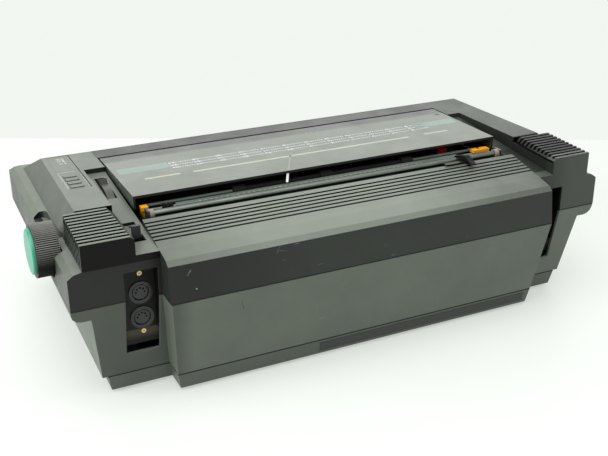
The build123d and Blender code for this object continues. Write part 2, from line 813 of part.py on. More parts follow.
lid_half = box_half - lid_gap
with BuildPart() as lid:
    block(cx - lid_half, cx + lid_half, hinge_y, lid_rear_y, top_z - lid_thick, top_z)
    rod_x(hinge_y, hinge_z, hinge_radius, cx - lid_half, cx + lid_half)
    for side in (1, -1):
        x0 = cx + side * lid_half
        x1 = x0 - side * lid_skirt_wall
        prism_x([(hinge_y, top_z - lid_skirt_front), (hinge_y, top_z - lid_thick / 2),
                 (lid_rear_y, top_z - lid_thick / 2), (lid_rear_y, top_z - lid_skirt)],
                min(x0, x1), max(x0, x1))
        rod_x(hinge_y, hinge_z, hinge_pin_radius, x0, x0 + side * (lid_gap + hinge_pin_length / 2))
write(lid.part, "lid")

with BuildPart() as control_panel:
    prism_z(panel_outline(panel_groove, touch), top_z - panel_thick, top_z)
    for i in range(key_count):
        x, y = key_place(i)
        block(x - key_width / 2 - fit_gap, x + key_width / 2 + fit_gap, y - key_length / 2 - fit_gap,
              y + key_length / 2 + fit_gap, top_z - wall, top_z + overrun, mode=Mode.SUBTRACT)
        rod_z(x - key_width / 2 - lamp_gap, y, lamp_radius, top_z - wall, top_z + overrun,
              mode=Mode.SUBTRACT)
write(control_panel.part, "control_panel")

for i in range(key_count):
    x, y = key_place(i)
    top = top_z + key_rise
    with BuildPart() as key:
        block(x - key_width / 2, x + key_width / 2, y - key_length / 2, y + key_length / 2,
              top - key_height, top)
        fillet(key.faces().sort_by(Axis.Z)[-1].edges(), key_round)
    write(key.part, f"key_{i + 1}")

with BuildPart() as indicator_lamps:
    for i in range(key_count):
        x, y = key_place(i)
        rod_z(x - key_width / 2 - lamp_gap, y, lamp_radius - touch, top_z - panel_thick, top_z + touch)
write(indicator_lamps.part, "indicator_lamps")

# Black cap on the rear of the right module's vent block
with BuildPart() as rear_cap:
    inner, outer = channel(1)
    edge = wall_x(1, y_ear, block_inset)
    prism_y([(edge, shoulder_z), (edge, block_z(y_ear)), (outer + block_shoulder, block_z(y_ear)),
             (outer, block_z(y_ear) - block_shoulder / 2), (outer, channel_z(y_ear)),
             (inner + fit_gap, channel_z(y_ear)), (inner + fit_gap, shoulder_z)],
            y_ear, y_ear + cap_thick)
write(rear_cap.part, "rear_cap")

# Bare rating plate on the base band
with BuildPart() as rating_plate:
    slope = base_lean / (base_z - seam_gap - foot_height)
    low = (base_z + foot_height - plate_height) / 2
    high = low + plate_height
    y_low = y_rear - panel_lean - slope * (base_z - seam_gap - low)
    y_high = y_rear - panel_lean - slope * (base_z - seam_gap - high)
    prism_x([(y_low, low), (y_high, high), (y_high + plate_thick, high), (y_low + plate_thick, low)],
            cx - plate_right_share * (box_half - panel_taper), cx - plate_left_share * box_half)
write(rating_plate.part, "rating_plate")


# Connector trays behind the windows
panel_y = y_ear - window_depth


def wall_face_y(z):
    """Inner face of the side modules' rear wall"""
    if z > seam_z:
        return y_ear - wall
    return y_ear - wall - panel_lean * (seam_z - z) / (seam_z - base_z)


def connector_tray(side):
    """Open box behind a window, with its plate at the bottom"""
    x0 = window_x(side, 0) - side * tray_wall
    x1 = window_x(side, 1) + side * tray_wall
    low = window_low_z + tray_rise
    high = window_high_z + tray_wall
    front = [(panel_y - tray_wall, low), (panel_y - tray_wall, high), (y_ear - wall - seam_gap, high),
             (y_ear - wall - seam_gap, seam_z), (max(wall_face_y(low) - seam_gap, panel_y), low)]
    prism_x(front, min(x0, x1), max(x0, x1))
    block(window_x(side, 0), window_x(side, 1), panel_y, y_ear, low, window_high_z, mode=Mode.SUBTRACT)


din_x = window_x(1, din_share)
din_places = [(din_x, din_top_z), (din_x, din_top_z - din_pitch)]
with BuildPart() as connector_tray_right:
    connector_tray(1)
    for x, z in din_places:
        rod_y(x, z, din_radius + touch, panel_y - tray_wall - overrun, panel_y + overrun, mode=Mode.SUBTRACT)
write(connector_tray_right.part, "connector_tray_right")

with BuildPart() as din_sockets:
    for x, z in din_places:
        rod_y(x, z, din_radius, panel_y - din_depth, panel_y + din_shell)
        groove_y = panel_y - din_groove_depth
        rod_y(x, z, din_bore_radius, groove_y, panel_y + 2 * din_shell, mode=Mode.SUBTRACT)
        rod_y(x, z, din_bore_radius - din_shell, groove_y - overrun, panel_y)
        with BuildSketch(Plane.XZ.offset(-panel_y - overrun)) as pins:
            with Locations((x, z)):
                with PolarLocations(din_pin_circle, din_pin_count, start_angle=0, angular_range=180,
                                    endpoint=True):
                    Circle(din_pin_radius)
        extrude(pins.sketch, amount=din_depth / 2, mode=Mode.SUBTRACT)
write(din_sockets.part, "din_sockets")

inlet_x = window_x(-1, 1 / 2)
with BuildPart() as connector_tray_left:
    connector_tray(-1)
    block(inlet_x - inlet_width / 2, inlet_x + inlet_width / 2, panel_y - 2 * tray_wall, panel_y + overrun,
          inlet_z - inlet_height / 2, inlet_z + inlet_height / 2, mode=Mode.SUBTRACT)
    block(inlet_x - switch_width / 2 - fit_gap, inlet_x + switch_width / 2 + fit_gap,
          panel_y - 2 * tray_wall, panel_y + overrun, switch_z - switch_height / 2 - fit_gap,
          switch_z + switch_height / 2 + fit_gap, mode=Mode.SUBTRACT)
write(connector_tray_left.part, "connector_tray_left")

with BuildPart() as mains_inlet:
    block(inlet_x - inlet_width / 2, inlet_x + inlet_width / 2, panel_y - inlet_depth, panel_y + overrun,
          inlet_z - inlet_height / 2, inlet_z + inlet_height / 2)
    block(inlet_x - inlet_width / 2 + inlet_pin, inlet_x + inlet_width / 2 - inlet_pin,
          panel_y - inlet_depth + inlet_pin, panel_y + 2 * overrun,
          inlet_z - inlet_height / 2 + inlet_pin, inlet_z + inlet_height / 2 - inlet_pin, mode=Mode.SUBTRACT)
    for share in (-1 / 4, 0, 1 / 4):
        block(inlet_x + inlet_width * share - inlet_pin / 2, inlet_x + inlet_width * share + inlet_pin / 2,
              panel_y - inlet_depth + inlet_pin, panel_y - inlet_depth / 4,
              inlet_z - inlet_pin, inlet_z + inlet_pin)
write(mains_inlet.part, "mains_inlet")

# Rocker on a pin across its middle
rocker_y = panel_y - switch_depth / 2
with BuildPart() as switch_body:
    block(inlet_x - switch_width / 2, inlet_x + switch_width / 2, panel_y - tray_wall - switch_depth,
          panel_y, switch_z - switch_height / 2, switch_z + switch_height / 2)
    block(inlet_x - switch_width / 2 + inlet_pin, inlet_x + switch_width / 2 - inlet_pin,
          panel_y - switch_depth, panel_y + overrun,
          switch_z - switch_height / 2 + inlet_pin / 2, switch_z + switch_height / 2 - inlet_pin / 2,
          mode=Mode.SUBTRACT)
    rod_x(rocker_y, switch_z, inlet_pin / 2, inlet_x - switch_width / 2 + inlet_pin / 2,
          inlet_x + switch_width / 2 - inlet_pin / 2)
write(switch_body.part, "switch_body")
with BuildPart() as power_rocker:
    half = switch_height / 2 - inlet_pin - 2 * fit_gap
    rocker_half_x = switch_width / 2 - inlet_pin - fit_gap
    prism_x([(rocker_y - inlet_pin, switch_z - inlet_pin), (rocker_y - inlet_pin, switch_z + inlet_pin),
             (panel_y, switch_z + half), (panel_y + switch_rise, switch_z + half),
             (panel_y + switch_rise / 4, switch_z), (panel_y + switch_rise / 2, switch_z - half),
             (panel_y - switch_rise / 2, switch_z - half)],
            inlet_x - rocker_half_x, inlet_x + rocker_half_x)
    rod_x(rocker_y, switch_z, inlet_pin / 2 + touch, inlet_x - switch_width, inlet_x + switch_width,
          mode=Mode.SUBTRACT)
write(power_rocker.part, "power_rocker")

with BuildPart() as screws:
    rims = din_radius + screw_head_radius
    screw_top_z = din_top_z + rims + screw_gap_top
    screw_low_z = din_top_z - din_pitch - rims - screw_gap_low
    for z in (screw_top_z, screw_low_z):
        rod_y(din_x, z, screw_head_radius, panel_y, panel_y + screw_head)
        rod_y(din_x, z, screw_bore_radius, panel_y + screw_head / 4, panel_y + 2 * screw_head,
              mode=Mode.SUBTRACT)
write(screws.part, "screws")

# Side frames, with an ear that holds the paper guide's rod
frame_front_y = y_rear - frame_front_y_back
frame_rear_y = frame_front_y + frame_length
rod_y_place = platen_y + rod_y_ahead
rod_z_place = platen_z + rod_z_up
idler_reach = (platen_gear_teeth + idler_teeth) * gear_module / 2 + mesh_gap
idler_y = platen_y + idler_reach * cos(radians(idler_angle))
idler_z = platen_z + idler_reach * sin(radians(idler_angle))
pinion_reach = (idler_teeth + pinion_teeth) * gear_module / 2 + mesh_gap
pinion_y = idler_y + pinion_reach * cos(radians(pinion_angle))
pinion_z = idler_z + pinion_reach * sin(radians(pinion_angle))


def side_frame(side):
    """Plate with a folded foot, holes for the bushes and an ear"""
    outer = frame_x_right if side > 0 else frame_x_left
    inner = outer - side * frame_thick
    x0 = min(outer, inner)
    x1 = max(outer, inner)
    prism_x([(frame_front_y, floor_z), (frame_front_y, frame_top_z - frame_slope),
             (frame_front_y + frame_slope, frame_top_z), (rod_y_place - frame_ear, frame_top_z),
             (rod_y_place - frame_ear, rod_z_place + frame_ear),
             (rod_y_place + frame_ear, rod_z_place + frame_ear),
             (rod_y_place + frame_ear, frame_top_z), (frame_rear_y, frame_top_z - frame_ear),
             (frame_rear_y, floor_z)], x0, x1)
    foot_x = outer + side * frame_foot
    block(outer, foot_x, frame_front_y, frame_rear_y, floor_z, floor_z + frame_thick)
    rod_x(platen_y, platen_z, bush_radius, x0 - overrun, x1 + overrun, mode=Mode.SUBTRACT)


with BuildPart() as side_frame_right:
    side_frame(1)
write(side_frame_right.part, "side_frame_right")

with BuildPart() as side_frame_left:
    side_frame(-1)
    rod_x(pinion_y, pinion_z, motor_shaft_radius + overrun, frame_x_left - overrun,
          frame_x_left + frame_thick + overrun, mode=Mode.SUBTRACT)
write(side_frame_left.part, "side_frame_left")

# Platen on its shaft, with the knob
gear_x1 = frame_x_left - gear_frame_gap
gear_x0 = gear_x1 - gear_width
shaft_end_x = knob_back_x + hub_radius
with BuildPart() as platen:
    rod_x(platen_y, platen_z, platen_radius, platen_left, platen_right)
    rod_x(platen_y, platen_z, shaft_radius, platen_left - overrun, platen_right + overrun,
          mode=Mode.SUBTRACT)
    chamfer(platen.edges().filter_by(GeomType.CIRCLE).sort_by(SortBy.RADIUS)[-2:], platen_chamfer)
write(platen.part, "platen")

with BuildPart() as platen_shaft:
    rod_x(platen_y, platen_z, shaft_radius, gear_x0, shaft_end_x)
write(platen_shaft.part, "platen_shaft")

with BuildPart() as platen_knob:
    with BuildSketch(Plane.YZ.offset(knob_back_x)) as ridges:
        with BuildLine():
            Polyline(*[(platen_y + (knob_radius - knob_ridge_depth * (i % 2)) * cos(pi * i / knob_ridges),
                        platen_z + (knob_radius - knob_ridge_depth * (i % 2)) * sin(pi * i / knob_ridges))
                       for i in range(2 * knob_ridges)], close=True)
        make_face()
    extrude(ridges.sketch, amount=knob_width)
    rod_x(platen_y, platen_z, knob_radius - knob_wall, knob_face_x - cap_depth, knob_face_x + overrun,
          mode=Mode.SUBTRACT)
    rod_x(platen_y, platen_z, hub_radius, knob_back_x - hub_length, knob_back_x)
    rod_x(platen_y, platen_z, shaft_radius, knob_back_x - hub_length - overrun, shaft_end_x,
          mode=Mode.SUBTRACT)
write(platen_knob.part, "platen_knob")

cap_radius = knob_radius - knob_wall
with BuildPart() as knob_cap:
    rod_x(platen_y, platen_z, cap_radius, knob_face_x - cap_depth, knob_face_x + cap_crown)
    fillet(knob_cap.edges().filter_by(GeomType.CIRCLE).sort_by(Axis.X)[-1:], cap_edge)
write(knob_cap.part, "knob_cap")


def gear(y, z, teeth, phase, bore):
    """Straight gear outboard of the left frame, one tooth centred on the phase angle"""
    pitch_radius = teeth * gear_module / 2
    root = pitch_radius - gear_root * gear_module
    tip = pitch_radius + gear_module
    points = []
    for i in range(teeth):
        for radius, share in ((root, -root_share), (tip, -tip_share), (tip, tip_share), (root, root_share)):
            angle = radians(phase + 360 * (i + share / 2) / teeth)
            points.append((y + radius * cos(angle), z + radius * sin(angle)))
    prism_x(points, gear_x0, gear_x1)
    rod_x(y, z, bore, gear_x0 - overrun, gear_x1 + overrun, mode=Mode.SUBTRACT)


with BuildPart() as platen_gear:
    gear(platen_y, platen_z, platen_gear_teeth, idler_angle, shaft_radius)
write(platen_gear.part, "platen_gear")

with BuildPart() as idler_gear:
    gear(idler_y, idler_z, idler_teeth, idler_angle + 180 + 180 / idler_teeth, stud_radius + touch)
write(idler_gear.part, "idler_gear")

motor_face_x = frame_x_left + frame_thick
with BuildPart() as feed_pinion:
    gear(pinion_y, pinion_z, pinion_teeth, pinion_angle + 180, motor_shaft_radius)
    rod_x(pinion_y, pinion_z, motor_shaft_radius, gear_x0, motor_face_x + feed_motor_length / 2)
write(feed_pinion.part, "feed_pinion")

with BuildPart() as feed_motor:
    rod_x(pinion_y, pinion_z, feed_motor_radius, motor_face_x, motor_face_x + feed_motor_length)
    rod_x(pinion_y, pinion_z, motor_shaft_radius + touch, motor_face_x - overrun,
          motor_face_x + feed_motor_length / 2 + overrun, mode=Mode.SUBTRACT)
write(feed_motor.part, "feed_motor")

# Paper pan under the platen, with windows for the pinch rollers
pinch_dy = pinch_reach * sin(radians(pinch_angle))
pinch_xs = [cx + pinch_pitch * (i - (pinch_count - 1) / 2) for i in range(pinch_count)]
cheek_far = pinch_pitch * (pinch_count - 1) / 2 + pinch_length / 2 + cheek_gap + cheek_thick / 2
cheek_xs = [cx - cheek_far, cx - pinch_pitch / 2, cx + pinch_pitch / 2, cx + cheek_far]
with BuildPart() as paper_pan:
    with BuildSketch(Plane.YZ.offset(frame_x_left + frame_thick)) as arc:
        pan_in = platen_radius + pan_gap
        pan_out = pan_in + pan_thick
        with BuildLine():
            inside = CenterArc((platen_y, platen_z), pan_in, pan_start_angle, pan_sweep_angle)
            outside = CenterArc((platen_y, platen_z), pan_out, pan_start_angle, pan_sweep_angle)
            Line(inside @ 0, outside @ 0)
            Line(inside @ 1, outside @ 1)
        make_face()
    extrude(arc.sketch, amount=frame_x_right - frame_x_left - 2 * frame_thick)
    for dy in (-pinch_dy, pinch_dy):
        for x in pinch_xs:
            half = pinch_length / 2 + pan_window_gap
            rod_x(platen_y + dy, pinch_z, pinch_radius + pan_window_gap, x - half, x + half,
                  mode=Mode.SUBTRACT)
        for x in cheek_xs:
            half = cheek_thick / 2 + pan_window_gap
            rod_x(platen_y + dy, pinch_z, cheek_radius + pan_window_gap, x - half, x + half,
                  mode=Mode.SUBTRACT)
write(paper_pan.part, "paper_pan")

# Pinch frame on two posts, and its rollers
with BuildPart() as pinch_frame:
    half_y = pinch_dy + cheek_radius
    block(cx - cheek_far - cheek_thick / 2, cx + cheek_far + cheek_thick / 2, platen_y - half_y,
          platen_y + half_y, pinch_bar_z - pinch_bar_thick, pinch_bar_z)
    for x in cheek_xs:
        x0 = x - cheek_thick / 2
        x1 = x + cheek_thick / 2
        for dy in (-pinch_dy, pinch_dy):
            y = platen_y + dy
            block(x0, x1, y - cheek_radius, y + cheek_radius, pinch_bar_z - overrun, pinch_z)
            rod_x(y, pinch_z, cheek_radius, x0, x1)
    for x in cheek_xs:
        for dy in (-pinch_dy, pinch_dy):
            rod_x(platen_y + dy, pinch_z, pinch_shaft_radius + touch, x - cheek_thick, x + cheek_thick,
                  mode=Mode.SUBTRACT)
    for x in (cx - post_spread, cx + post_spread):
        rod_z(x, platen_y, guide_post_radius + touch, pinch_bar_z - 2 * pinch_bar_thick,
              pinch_bar_z + overrun, mode=Mode.SUBTRACT)
write(pinch_frame.part, "pinch_frame")

for name, dy in (("pinch_rollers_front", -pinch_dy), ("pinch_rollers_rear", pinch_dy)):
    with BuildPart() as pinch_rollers:
        rod_x(platen_y + dy, pinch_z, pinch_shaft_radius, cx - cheek_far - cheek_thick,
              cx + cheek_far + cheek_thick)
        for x in pinch_xs:
            rod_x(platen_y + dy, pinch_z, pinch_radius, x - pinch_length / 2, x + pinch_length / 2)
    write(pinch_rollers.part, name)

# Paper bail
bail_y = platen_y + bail_ahead
bail_z = platen_z + platen_radius + bail_gap
bail_pivot_y = platen_y - bail_pivot_back
bail_pivot_z = platen_z - bail_pivot_drop
arm_out = box_half - frame_inset - frame_thick - bail_arm_gap
arm_in = arm_out - bail_arm_thick
bail_shaft_y = bail_y - bail_width / 2 - bail_roller_radius - bail_roller_gap
bail_shaft_z = platen_z + sqrt((platen_radius + bail_roller_radius + pinch_gap) ** 2
                               - (platen_y - bail_shaft_y) ** 2)
with BuildPart() as bail_bar:
    block(cx - arm_in + bail_rod_left, cx + arm_in - bail_rod_right, bail_y - bail_width / 2,
          bail_y + bail_width / 2, bail_z, bail_z + bail_thick)
    rod_x(bail_y, bail_z + bail_thick / 2, bail_rod_radius, cx - arm_in, cx + arm_in)
    rod_x(bail_shaft_y, bail_shaft_z, bail_shaft_radius, cx - arm_out, cx + arm_out)
write(bail_bar.part, "bail_bar")

for name, side, tip_out, tip_width in (
        ("bail_lever_right", 1, arm_out + bail_tip_out, bail_tip_width),
        ("bail_lever_left", -1, arm_out - bail_fork_in, bail_fork_width)):
    with BuildPart() as bail_lever:
        x0 = cx + side * arm_in
        x1 = cx + side * arm_out
        low_x = min(x0, x1)
        high_x = max(x0, x1)
        across = bail_arm_width / 2
        tip_z = bail_z + bail_thick + bail_tip_height
        prism_x([(bail_pivot_y - across, bail_pivot_z), (bail_shaft_y - across, bail_shaft_z),
                 (bail_y - bail_width / 2, tip_z), (bail_y + bail_width / 2, tip_z),
                 (bail_y + bail_width / 2, bail_z), (bail_pivot_y + across, bail_pivot_z)], low_x, high_x)
        rod_x(bail_pivot_y, bail_pivot_z, across, low_x, high_x)
        block(cx + side * tip_out, cx + side * (tip_out - tip_width), bail_y - bail_width / 2,
              bail_y + bail_width / 2, bail_z + bail_thick, tip_z)
        if tip_width > 2 * bail_fork_gap:
            fork_x = cx + side * (tip_out - tip_width / 2)
            block(fork_x - bail_fork_gap / 2, fork_x + bail_fork_gap / 2, bail_y - bail_width,
                  bail_y, bail_z, tip_z + overrun, mode=Mode.SUBTRACT)
        rod_x(bail_pivot_y, bail_pivot_z, bail_pin_radius + touch, low_x - overrun, high_x + overrun,
              mode=Mode.SUBTRACT)
        rod_x(bail_shaft_y, bail_shaft_z, bail_shaft_radius, low_x - overrun, high_x + overrun,
              mode=Mode.SUBTRACT)
    write(bail_lever.part, name)

with BuildPart() as bail_rollers:
    for share in bail_roller_shares:
        x = cx + share * arm_in
        rod_x(bail_shaft_y, bail_shaft_z, bail_roller_radius, x - bail_roller_length / 2,
              x + bail_roller_length / 2)
    rod_x(bail_shaft_y, bail_shaft_z, bail_sleeve_radius, cx + bail_roller_shares[0] * arm_in,
          cx + bail_roller_shares[-1] * arm_in)
    rod_x(bail_shaft_y, bail_shaft_z, bail_shaft_radius + touch, cx - arm_out, cx + arm_out,
          mode=Mode.SUBTRACT)
write(bail_rollers.part, "bail_rollers")

# Rod behind the platen, and the paper guide that slides on it
with BuildPart() as guide_rod:
    rod_x(rod_y_place, rod_z_place, rod_radius, frame_x_left + frame_thick, frame_x_right - frame_thick)
write(guide_rod.part, "guide_rod")

# Bushes of the platen's shaft and of the rod
with BuildPart() as bushes:
    for side, outer in ((1, frame_x_right), (-1, frame_x_left)):
        inner = outer - side * frame_thick
        flange = inner - side * bush_flange_thick
        collar = inner - side * rod_bush_length
        rod_x(platen_y, platen_z, bush_radius, min(outer, inner), max(outer, inner))
        rod_x(platen_y, platen_z, bush_flange, min(flange, inner), max(flange, inner))
        rod_x(rod_y_place, rod_z_place, rod_bush_radius, min(collar, inner), max(collar, inner))
    rod_x(platen_y, platen_z, shaft_radius + touch, frame_x_left - overrun, frame_x_right + overrun,
          mode=Mode.SUBTRACT)
    rod_x(rod_y_place, rod_z_place, rod_radius, frame_x_left, frame_x_right, mode=Mode.SUBTRACT)
write(bushes.part, "bushes")

guide_x = cx - guide_x_share * box_half
guide_blade_z = deck_front_z + guide_blade_gap
with BuildPart() as paper_guide:
    rod_x(rod_y_place, rod_z_place, guide_boss_radius, guide_x - guide_width / 2, guide_x + guide_width / 2)
    blade_end_y = deck_front_y + guide_blade
    prism_x([(rod_y_place, rod_z_place + rod_radius + overrun),
             (rod_y_place, rod_z_place + guide_boss_radius), (deck_front_y, guide_blade_z + guide_height),
             (blade_end_y, guide_blade_z + overrun), (blade_end_y, guide_blade_z),
             (rod_y_place + rod_radius, guide_blade_z)],
            guide_x - guide_width / 2, guide_x + guide_width / 2)
    block(guide_x, guide_x + guide_strip, deck_front_y - guide_strip_width / 2,
          deck_front_y + guide_strip_width / 2, guide_blade_z, guide_blade_z + overrun)
    rod_x(rod_y_place, rod_z_place, rod_radius + touch, guide_x - guide_width, guide_x + guide_width,
          mode=Mode.SUBTRACT)
write(paper_guide.part, "paper_guide")

# Carriage on its two rails
front_rail_y = platen_y - front_rail_back
rear_rail_y = platen_y - rear_rail_back
rail_x0 = frame_x_left + frame_thick
rail_x1 = frame_x_right - frame_thick
carriage_x = rail_x0 + carriage_start
wheel_z = platen_z - wheel_print_radius
wheel_y1 = face_y - wheel_gap
wheel_y0 = wheel_y1 - wheel_thick
hub_y0 = wheel_y1 - wheel_hub_thick
motor_y1 = hub_y0 - wheel_motor_gap
motor_y0 = motor_y1 - wheel_motor_length
bulkhead_y = motor_y0 - carriage_wall
floor_low = rail_z + carriage_floor
floor_top = floor_low + carriage_floor
wall_top = floor_top + carriage_height
belt_inner = pulley_radius + belt_gap
clamp_low = belt_z - belt_width / 2
half_width = carriage_width / 2

with BuildPart() as carriage_rails:
    for y in (front_rail_y, rear_rail_y):
        rod_x(y, rail_z, rail_radius, rail_x0, rail_x1)
write(carriage_rails.part, "carriage_rails")

with BuildPart() as carriage:
    for y in (front_rail_y, rear_rail_y):
        rod_x(y, rail_z, rail_boss, carriage_x - half_width, carriage_x + half_width)
    block(carriage_x - half_width, carriage_x + half_width, front_rail_y - rail_boss,
          rear_rail_y + rail_boss, floor_low, floor_top)
    for side in (1, -1):
        x0 = carriage_x + side * half_width
        block(x0, x0 - side * carriage_wall, front_rail_y - rail_boss, rear_rail_y + rail_boss, floor_low,
              wall_top)
    block(carriage_x - half_width, carriage_x + half_width, bulkhead_y, motor_y0, floor_low, wall_top)
    # Two jaws that hold the belt's front run
    front_run = belt_y - belt_inner
    for y0, y1 in ((front_run + clamp_gap, front_run + clamp_gap + clamp_thick),
                   (front_run - belt_thick - clamp_gap - clamp_thick, front_run - belt_thick - clamp_gap)):
        block(carriage_x - clamp_half, carriage_x + clamp_half, y0, y1, clamp_low, floor_top)
    for y in (front_rail_y, rear_rail_y):
        rod_x(y, rail_z, rail_radius + touch, carriage_x - carriage_width, carriage_x + carriage_width,
              mode=Mode.SUBTRACT)
write(carriage.part, "carriage")

with BuildPart() as wheel_motor:
    rod_y(carriage_x, wheel_z, wheel_motor_radius, motor_y0, motor_y1)
    rod_y(carriage_x, wheel_z, motor_shaft_radius + touch, motor_y1 - wheel_motor_length / 2,
          motor_y1 + overrun, mode=Mode.SUBTRACT)
write(wheel_motor.part, "wheel_motor")

with BuildPart() as daisy_wheel:
    with BuildSketch(Plane.XZ.offset(-wheel_y0)) as petals:
        with Locations((carriage_x, wheel_z)):
            Circle(wheel_hub_radius)
            petal_length = wheel_radius - wheel_hub_radius + overrun
            petal_width = 2 * pi * wheel_hub_radius / wheel_petals * petal_share
            with PolarLocations((wheel_radius + wheel_hub_radius - overrun) / 2, wheel_petals):
                Rectangle(petal_length, petal_width)
            with PolarLocations(wheel_print_radius, wheel_petals):
                Rectangle(petal_head, 2 * petal_width)
    extrude(petals.sketch, amount=-wheel_thick)
    rod_y(carriage_x, wheel_z, wheel_hub_radius, hub_y0, wheel_y1)
    rod_y(carriage_x, wheel_z, motor_shaft_radius, motor_y1 - wheel_motor_length / 2 + overrun, hub_y0)
write(daisy_wheel.part, "daisy_wheel")

hammer_z0 = platen_z - hammer_height / 2
hammer_z1 = platen_z + hammer_height / 2
hammer_y1 = wheel_y0 - hammer_gap - hammer_nose
hammer_y0 = bulkhead_y - hammer_leg
with BuildPart() as hammer_unit:
    block(carriage_x - hammer_width / 2, carriage_x + hammer_width / 2, hammer_y0, hammer_y1,
          hammer_z0, hammer_z1)
    block(carriage_x - hammer_width / 2, carriage_x + hammer_width / 2, hammer_y0, bulkhead_y, floor_top,
          hammer_z1)
    rod_y(carriage_x, platen_z, hammer_radius + touch, hammer_y0 - overrun, hammer_y1 + overrun,
          mode=Mode.SUBTRACT)
write(hammer_unit.part, "hammer_unit")

pin_y1 = wheel_y0 - hammer_gap
pin_y0 = pin_y1 - hammer_pin_length
with BuildPart() as hammer_pin:
    rod_y(carriage_x, platen_z, hammer_radius, pin_y0, pin_y1)
    rod_y(carriage_x, platen_z, 2 * hammer_radius, pin_y0, pin_y0 + hammer_travel)
write(hammer_pin.part, "hammer_pin")

# Ribbon cartridge over the carriage
ribbon_strip_y = face_y - ribbon_strip_back
ribbon_arm_z = platen_z - ribbon_arm_drop
red_lever_x = carriage_x - red_lever_offset
red_lever_y = platen_y - red_lever_back
ribbon_z0 = wall_top
ribbon_half = ribbon_width / 2
ribbon_y0 = front_rail_y - rail_boss
ribbon_y1 = wheel_y0 - ribbon_wheel_gap
with BuildPart() as ribbon_cartridge:
    for side in (1, -1):
        x_in = carriage_x + side * ribbon_window / 2
        x_out = carriage_x + side * ribbon_half
        block(x_in, x_out, ribbon_y0, ribbon_y1, ribbon_z0, ribbon_z0 + ribbon_height)
        block(x_out, x_out - side * ribbon_arm, ribbon_y1 - overrun, ribbon_strip_y, ribbon_arm_z,
              ribbon_z0 + ribbon_height)
    block(carriage_x - ribbon_half, carriage_x + ribbon_half, ribbon_y0, ribbon_y0 + ribbon_bridge,
          ribbon_z0, ribbon_z0 + ribbon_height)
    block(carriage_x - ribbon_half, carriage_x + ribbon_half, ribbon_strip_y, ribbon_strip_y + ribbon_thick,
          ribbon_arm_z + overrun, ribbon_z0 + ribbon_height - overrun)
    rod_z(red_lever_x, red_lever_y, lever_pin_radius, ribbon_z0 + ribbon_height - overrun,
          ribbon_z0 + ribbon_height + 2 * lever_plate_height)
write(ribbon_cartridge.part, "ribbon_cartridge")

with BuildPart() as ribbon_lever:
    z0 = ribbon_z0 + ribbon_height + 2 * fit_gap
    half = lever_width / 2
    prism_z([(red_lever_x - half, red_lever_y - half), (red_lever_x + half, red_lever_y - half),
             (red_lever_x + half, red_lever_y + lever_length),
             (red_lever_x - half, red_lever_y + lever_length)], z0, z0 + lever_plate_height)
    block(red_lever_x - half, red_lever_x + half, red_lever_y + lever_length * 2 / 3,
          red_lever_y + lever_length, z0, z0 + lever_height)
    rod_z(red_lever_x, red_lever_y, lever_pin_radius + touch, z0 - overrun, z0 + lever_height + overrun,
          mode=Mode.SUBTRACT)
write(ribbon_lever.part, "ribbon_lever")

# Belt, its pulleys and motor
belt_low = belt_z - belt_width / 2
belt_high = belt_z + belt_width / 2


def belt_loop(radius, mode):
    """Loop round both pulleys"""
    for x in (pulley_x0, pulley_x1):
        rod_z(x, belt_y, radius, belt_low, belt_high, mode=mode)
    block(pulley_x0, pulley_x1, belt_y - radius, belt_y + radius, belt_low, belt_high, mode=mode)


with BuildPart() as carriage_belt:
    belt_loop(belt_inner + belt_thick, Mode.ADD)
    belt_loop(belt_inner, Mode.SUBTRACT)
write(carriage_belt.part, "carriage_belt")


def pulley(x):
    """Flanged pulley"""
    rod_z(x, belt_y, pulley_radius, belt_z - pulley_width / 2, belt_z + pulley_width / 2)
    for z in (belt_z - pulley_width / 2, belt_high + fit_gap):
        rod_z(x, belt_y, pulley_radius + belt_thick + overrun, z,
              z + pulley_width / 2 - belt_width / 2 - fit_gap)


with BuildPart() as drive_pulley:
    pulley(pulley_x1)
    rod_z(pulley_x1, belt_y, motor_shaft_radius, pulley_low - carriage_motor_length / 2, pulley_low)
write(drive_pulley.part, "drive_pulley")

with BuildPart() as idle_pulley:
    pulley(pulley_x0)
    rod_z(pulley_x0, belt_y, post_radius + touch, pulley_low - overrun, belt_z + pulley_width,
          mode=Mode.SUBTRACT)
write(idle_pulley.part, "idle_pulley")

with BuildPart() as carriage_motor:
    rod_z(pulley_x1, belt_y, carriage_motor_radius, floor_z, pulley_low - overrun)
    rod_z(pulley_x1, belt_y, motor_shaft_radius + touch, pulley_low - carriage_motor_length / 2 - overrun,
          pulley_low, mode=Mode.SUBTRACT)
write(carriage_motor.part, "carriage_motor")

# Levers in the right channel, on studs of the right frame
pivots = [((y0 + y1) / 2, channel_z((y0 + y1) / 2) - lever_drop) for x, y0, y1, half in lever_pockets]


def lever_root(x, y, z):
    """Boss round the pivot and a blade up to the channel floor"""
    rod_x(y, z, 2 * lever_pin, x - lever_blade / 2, x + lever_blade / 2)
    block(x - lever_blade / 2, x + lever_blade / 2, y - 2 * lever_pin, y + 2 * lever_pin, z,
          z + lever_drop - lever_plate / 2)
    rod_x(y, z, lever_pin + touch, x - lever_blade, x + lever_blade, mode=Mode.SUBTRACT)


impression_x, impression_half = lever_pockets[0][0], lever_pockets[0][-1] - pocket_gap
impression_y, impression_z = pivots[0]
rib_radius = lever_drop + impression_rise
with BuildPart() as arc_rib:
    rod_x(impression_y, impression_z, rib_radius, impression_x - impression_half,
          impression_x + impression_half)
    block(impression_x - impression_half, impression_x + impression_half, impression_y - impression_rib / 2,
          impression_y + impression_rib / 2, impression_z + lever_drop - impression_rib_depth,
          impression_z + rib_radius, mode=Mode.INTERSECT)

